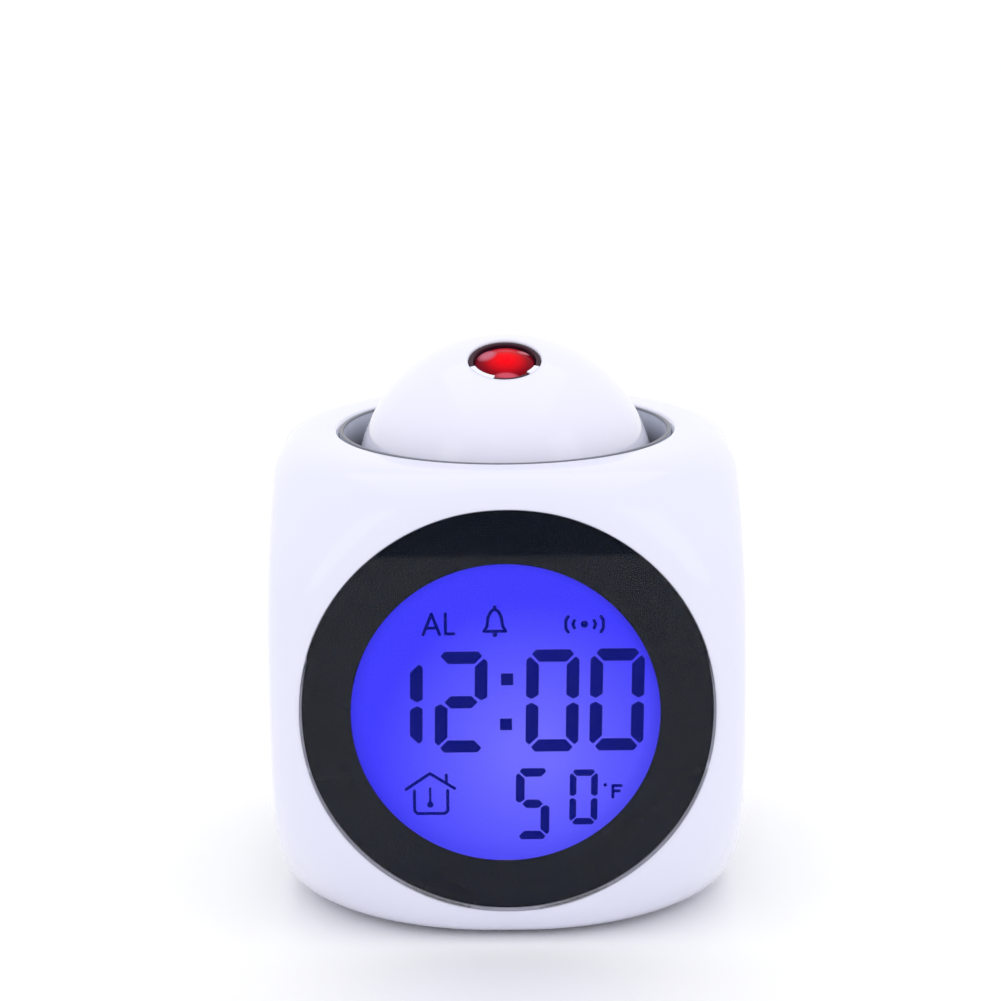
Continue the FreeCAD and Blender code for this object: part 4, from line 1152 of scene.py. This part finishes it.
def makeFeet():
    look = footLook
    rounding = look["round"]
    profile = [(0, 0)] + arcPoints((footRadius - rounding, rounding), rounding, -90, 0, 5)
    profile += [(footRadius, look["top"]), (0, look["top"])]
    bm = bmesh.new()
    for x, y in footPlaces:
        absorb(bm, moved(turnedShape(profile, 48), Matrix.Translation((x * mm, y * mm, 0))))
    feet = newPiece("softFeet", bm, "case", "foot_rubber", crease=50)
    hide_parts("rubber_feet")


def makeDoorGrips():
    # raised grips by the door's catch, each shorter than the one before
    look = doorLook
    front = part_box("battery_door")[0].y / mm + look["inset"]
    bm = bmesh.new()
    for step in range(look["gripCount"]):
        y = front + step * look["gripPitch"]
        half = look["gripHalf"] - look["gripTaper"] * step
        made = addBlock(bm, (-half, y - look["gripWide"], baseHeight - look["gripProud"]),
                        (half, y + look["gripWide"], baseHeight + look["gripSunk"]))
        tips = {edge for v in made for edge in v.link_edges
                if max(w.co.z for w in edge.verts) < baseHeight * mm}
        roundEdges(bm, tips, look["gripRound"], 3)
    newPiece("doorGrips", bm, "door", "case_white", crease=50)


def makeCradleSpring():
    look = springLook
    low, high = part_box("cradle_spring")
    first, last = low.z + look["wire"] * mm, high.z - look["wire"] * mm
    flat, coil = look["flatTurns"], look["coil"] * mm
    path = []
    for i in range(int(look["turns"] * look["steps"]) + 1):
        turn = i / look["steps"]
        climb = min(max((turn - flat) / (look["turns"] - 2 * flat), 0.0), 1.0)
        rise = look["flatRise"] * mm * min(turn / flat, 1.0)
        angle = 2 * pi * turn
        path.append((coil * cos(angle), coil * sin(angle),
                     min(first + rise + (last - first) * climb, last)))
    spring = wirePiece("liftSpring", [path], look["wire"])
    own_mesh(spring)
    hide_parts("cradle_spring")


def makeContactSprings():
    # conical springs that press on one end of each cell
    look = contactLook
    low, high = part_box("contact_springs")
    height = (low.z + high.z) / 2
    count = look["turns"] * look["steps"]
    paths = []
    for depth, side in look["places"]:
        wall = low.x if side < 0 else high.x
        path = []
        for i in range(count + 1):
            share = i / count
            radius = (look["wide"] + (look["tip"] - look["wide"]) * share) * mm
            angle = 2 * pi * look["turns"] * share
            x = wall - side * (look["wire"] + share * look["length"]) * mm
            path.append((x, depth * mm + radius * cos(angle), height + radius * sin(angle)))
        paths.append(path)
    springs = wirePiece("cellSprings", paths, look["wire"])
    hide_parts("contact_springs")


makeFeet()
makeDoorGrips()
makeCradleSpring()
makeContactSprings()
print("feet, grips and springs made")


# The camera of the photograph.
cameraLook = {
    "place": (0.14 * mm, -528.7 * mm, 196.0 * mm), "lens": 108.37, "pitch": 0.2358, "yaw": -0.0021,
    "roll": -0.0092, "sensor": 36, "nearest": 10 * mm,
}


def makeCamera():
    look = cameraLook
    data = bpy.data.cameras.new("camera")
    data.lens = look["lens"]
    data.sensor_width = look["sensor"]
    data.clip_start = look["nearest"]
    camera = addObject("camera", data)
    pitch, yaw, roll = look["pitch"], look["yaw"], look["roll"]
    forward = Vector((sin(yaw) * cos(pitch), cos(yaw) * cos(pitch),
                      -sin(pitch)))
    level = Vector((cos(yaw), -sin(yaw), 0))
    right = level * cos(roll) + level.cross(forward) * sin(roll)
    upward = right.cross(forward)
    turn = Matrix((right, upward, -forward)).transposed()
    camera.matrix_world = Matrix.Translation(look["place"]) @ turn.to_4x4()
    bpy.context.scene.camera = camera


makeCamera()
bpy.context.scene.view_settings.view_transform = "Standard"
print("camera placed")


# The floor, the backdrop and the lights.
stageLook = {
    "reach": 1.6, "colour": (0.97, 0.97, 0.97), "drift": (3.0, 2.0), "variation": 0.01,
    "world": (1.0, 1.0, 1.0, 1.0), "worldStrength": 1.06,
    # soft boxes: name, place, target, size, power
    "lights": [
        ("top", (0.0, 0.10, 0.80), (0, 0, 0.05), (0.9, 0.8), 0.6),
        ("left", (-0.50, -0.45, 0.35), (0, 0, 0.06), (0.20, 0.40), 0.12),
        ("right", (0.55, -0.40, 0.40), (0, 0, 0.06), (0.30, 0.40), 0.18),
    ],
}


def makeFloor():
    look = stageLook
    bm = bmesh.new()
    bmesh.ops.create_grid(bm, x_segments=8, y_segments=8, size=look["reach"])
    mesh = meshOf("floor", bm)
    finish = Finish("floor_white")
    white = finish.uneven(finish.noise(*look["drift"]), look["colour"], look["variation"])
    mesh.materials.append(finish.set(Base_Color=white, Roughness=0.6))
    floor = addObject("floor", mesh)


def softBox(name, place, target, size, power):
    data = bpy.data.lights.new(name, "AREA")
    data.shape = "RECTANGLE"
    data.size, data.size_y = size
    data.energy = power
    light = addObject(name, data)
    light.location = place
    light.rotation_euler = (Vector(target) - Vector(place)).to_track_quat("-Z", "Y").to_euler()


def makeWorld():
    world = bpy.data.worlds.new("studio")
    bpy.context.scene.world = world
    world.use_nodes = True
    background = world.node_tree.nodes["Background"]
    background.inputs["Color"].default_value = stageLook["world"]
    background.inputs["Strength"].default_value = stageLook["worldStrength"]


makeFloor()
makeWorld()
for light in stageLook["lights"]:
    softBox(*light)
print("stage set")
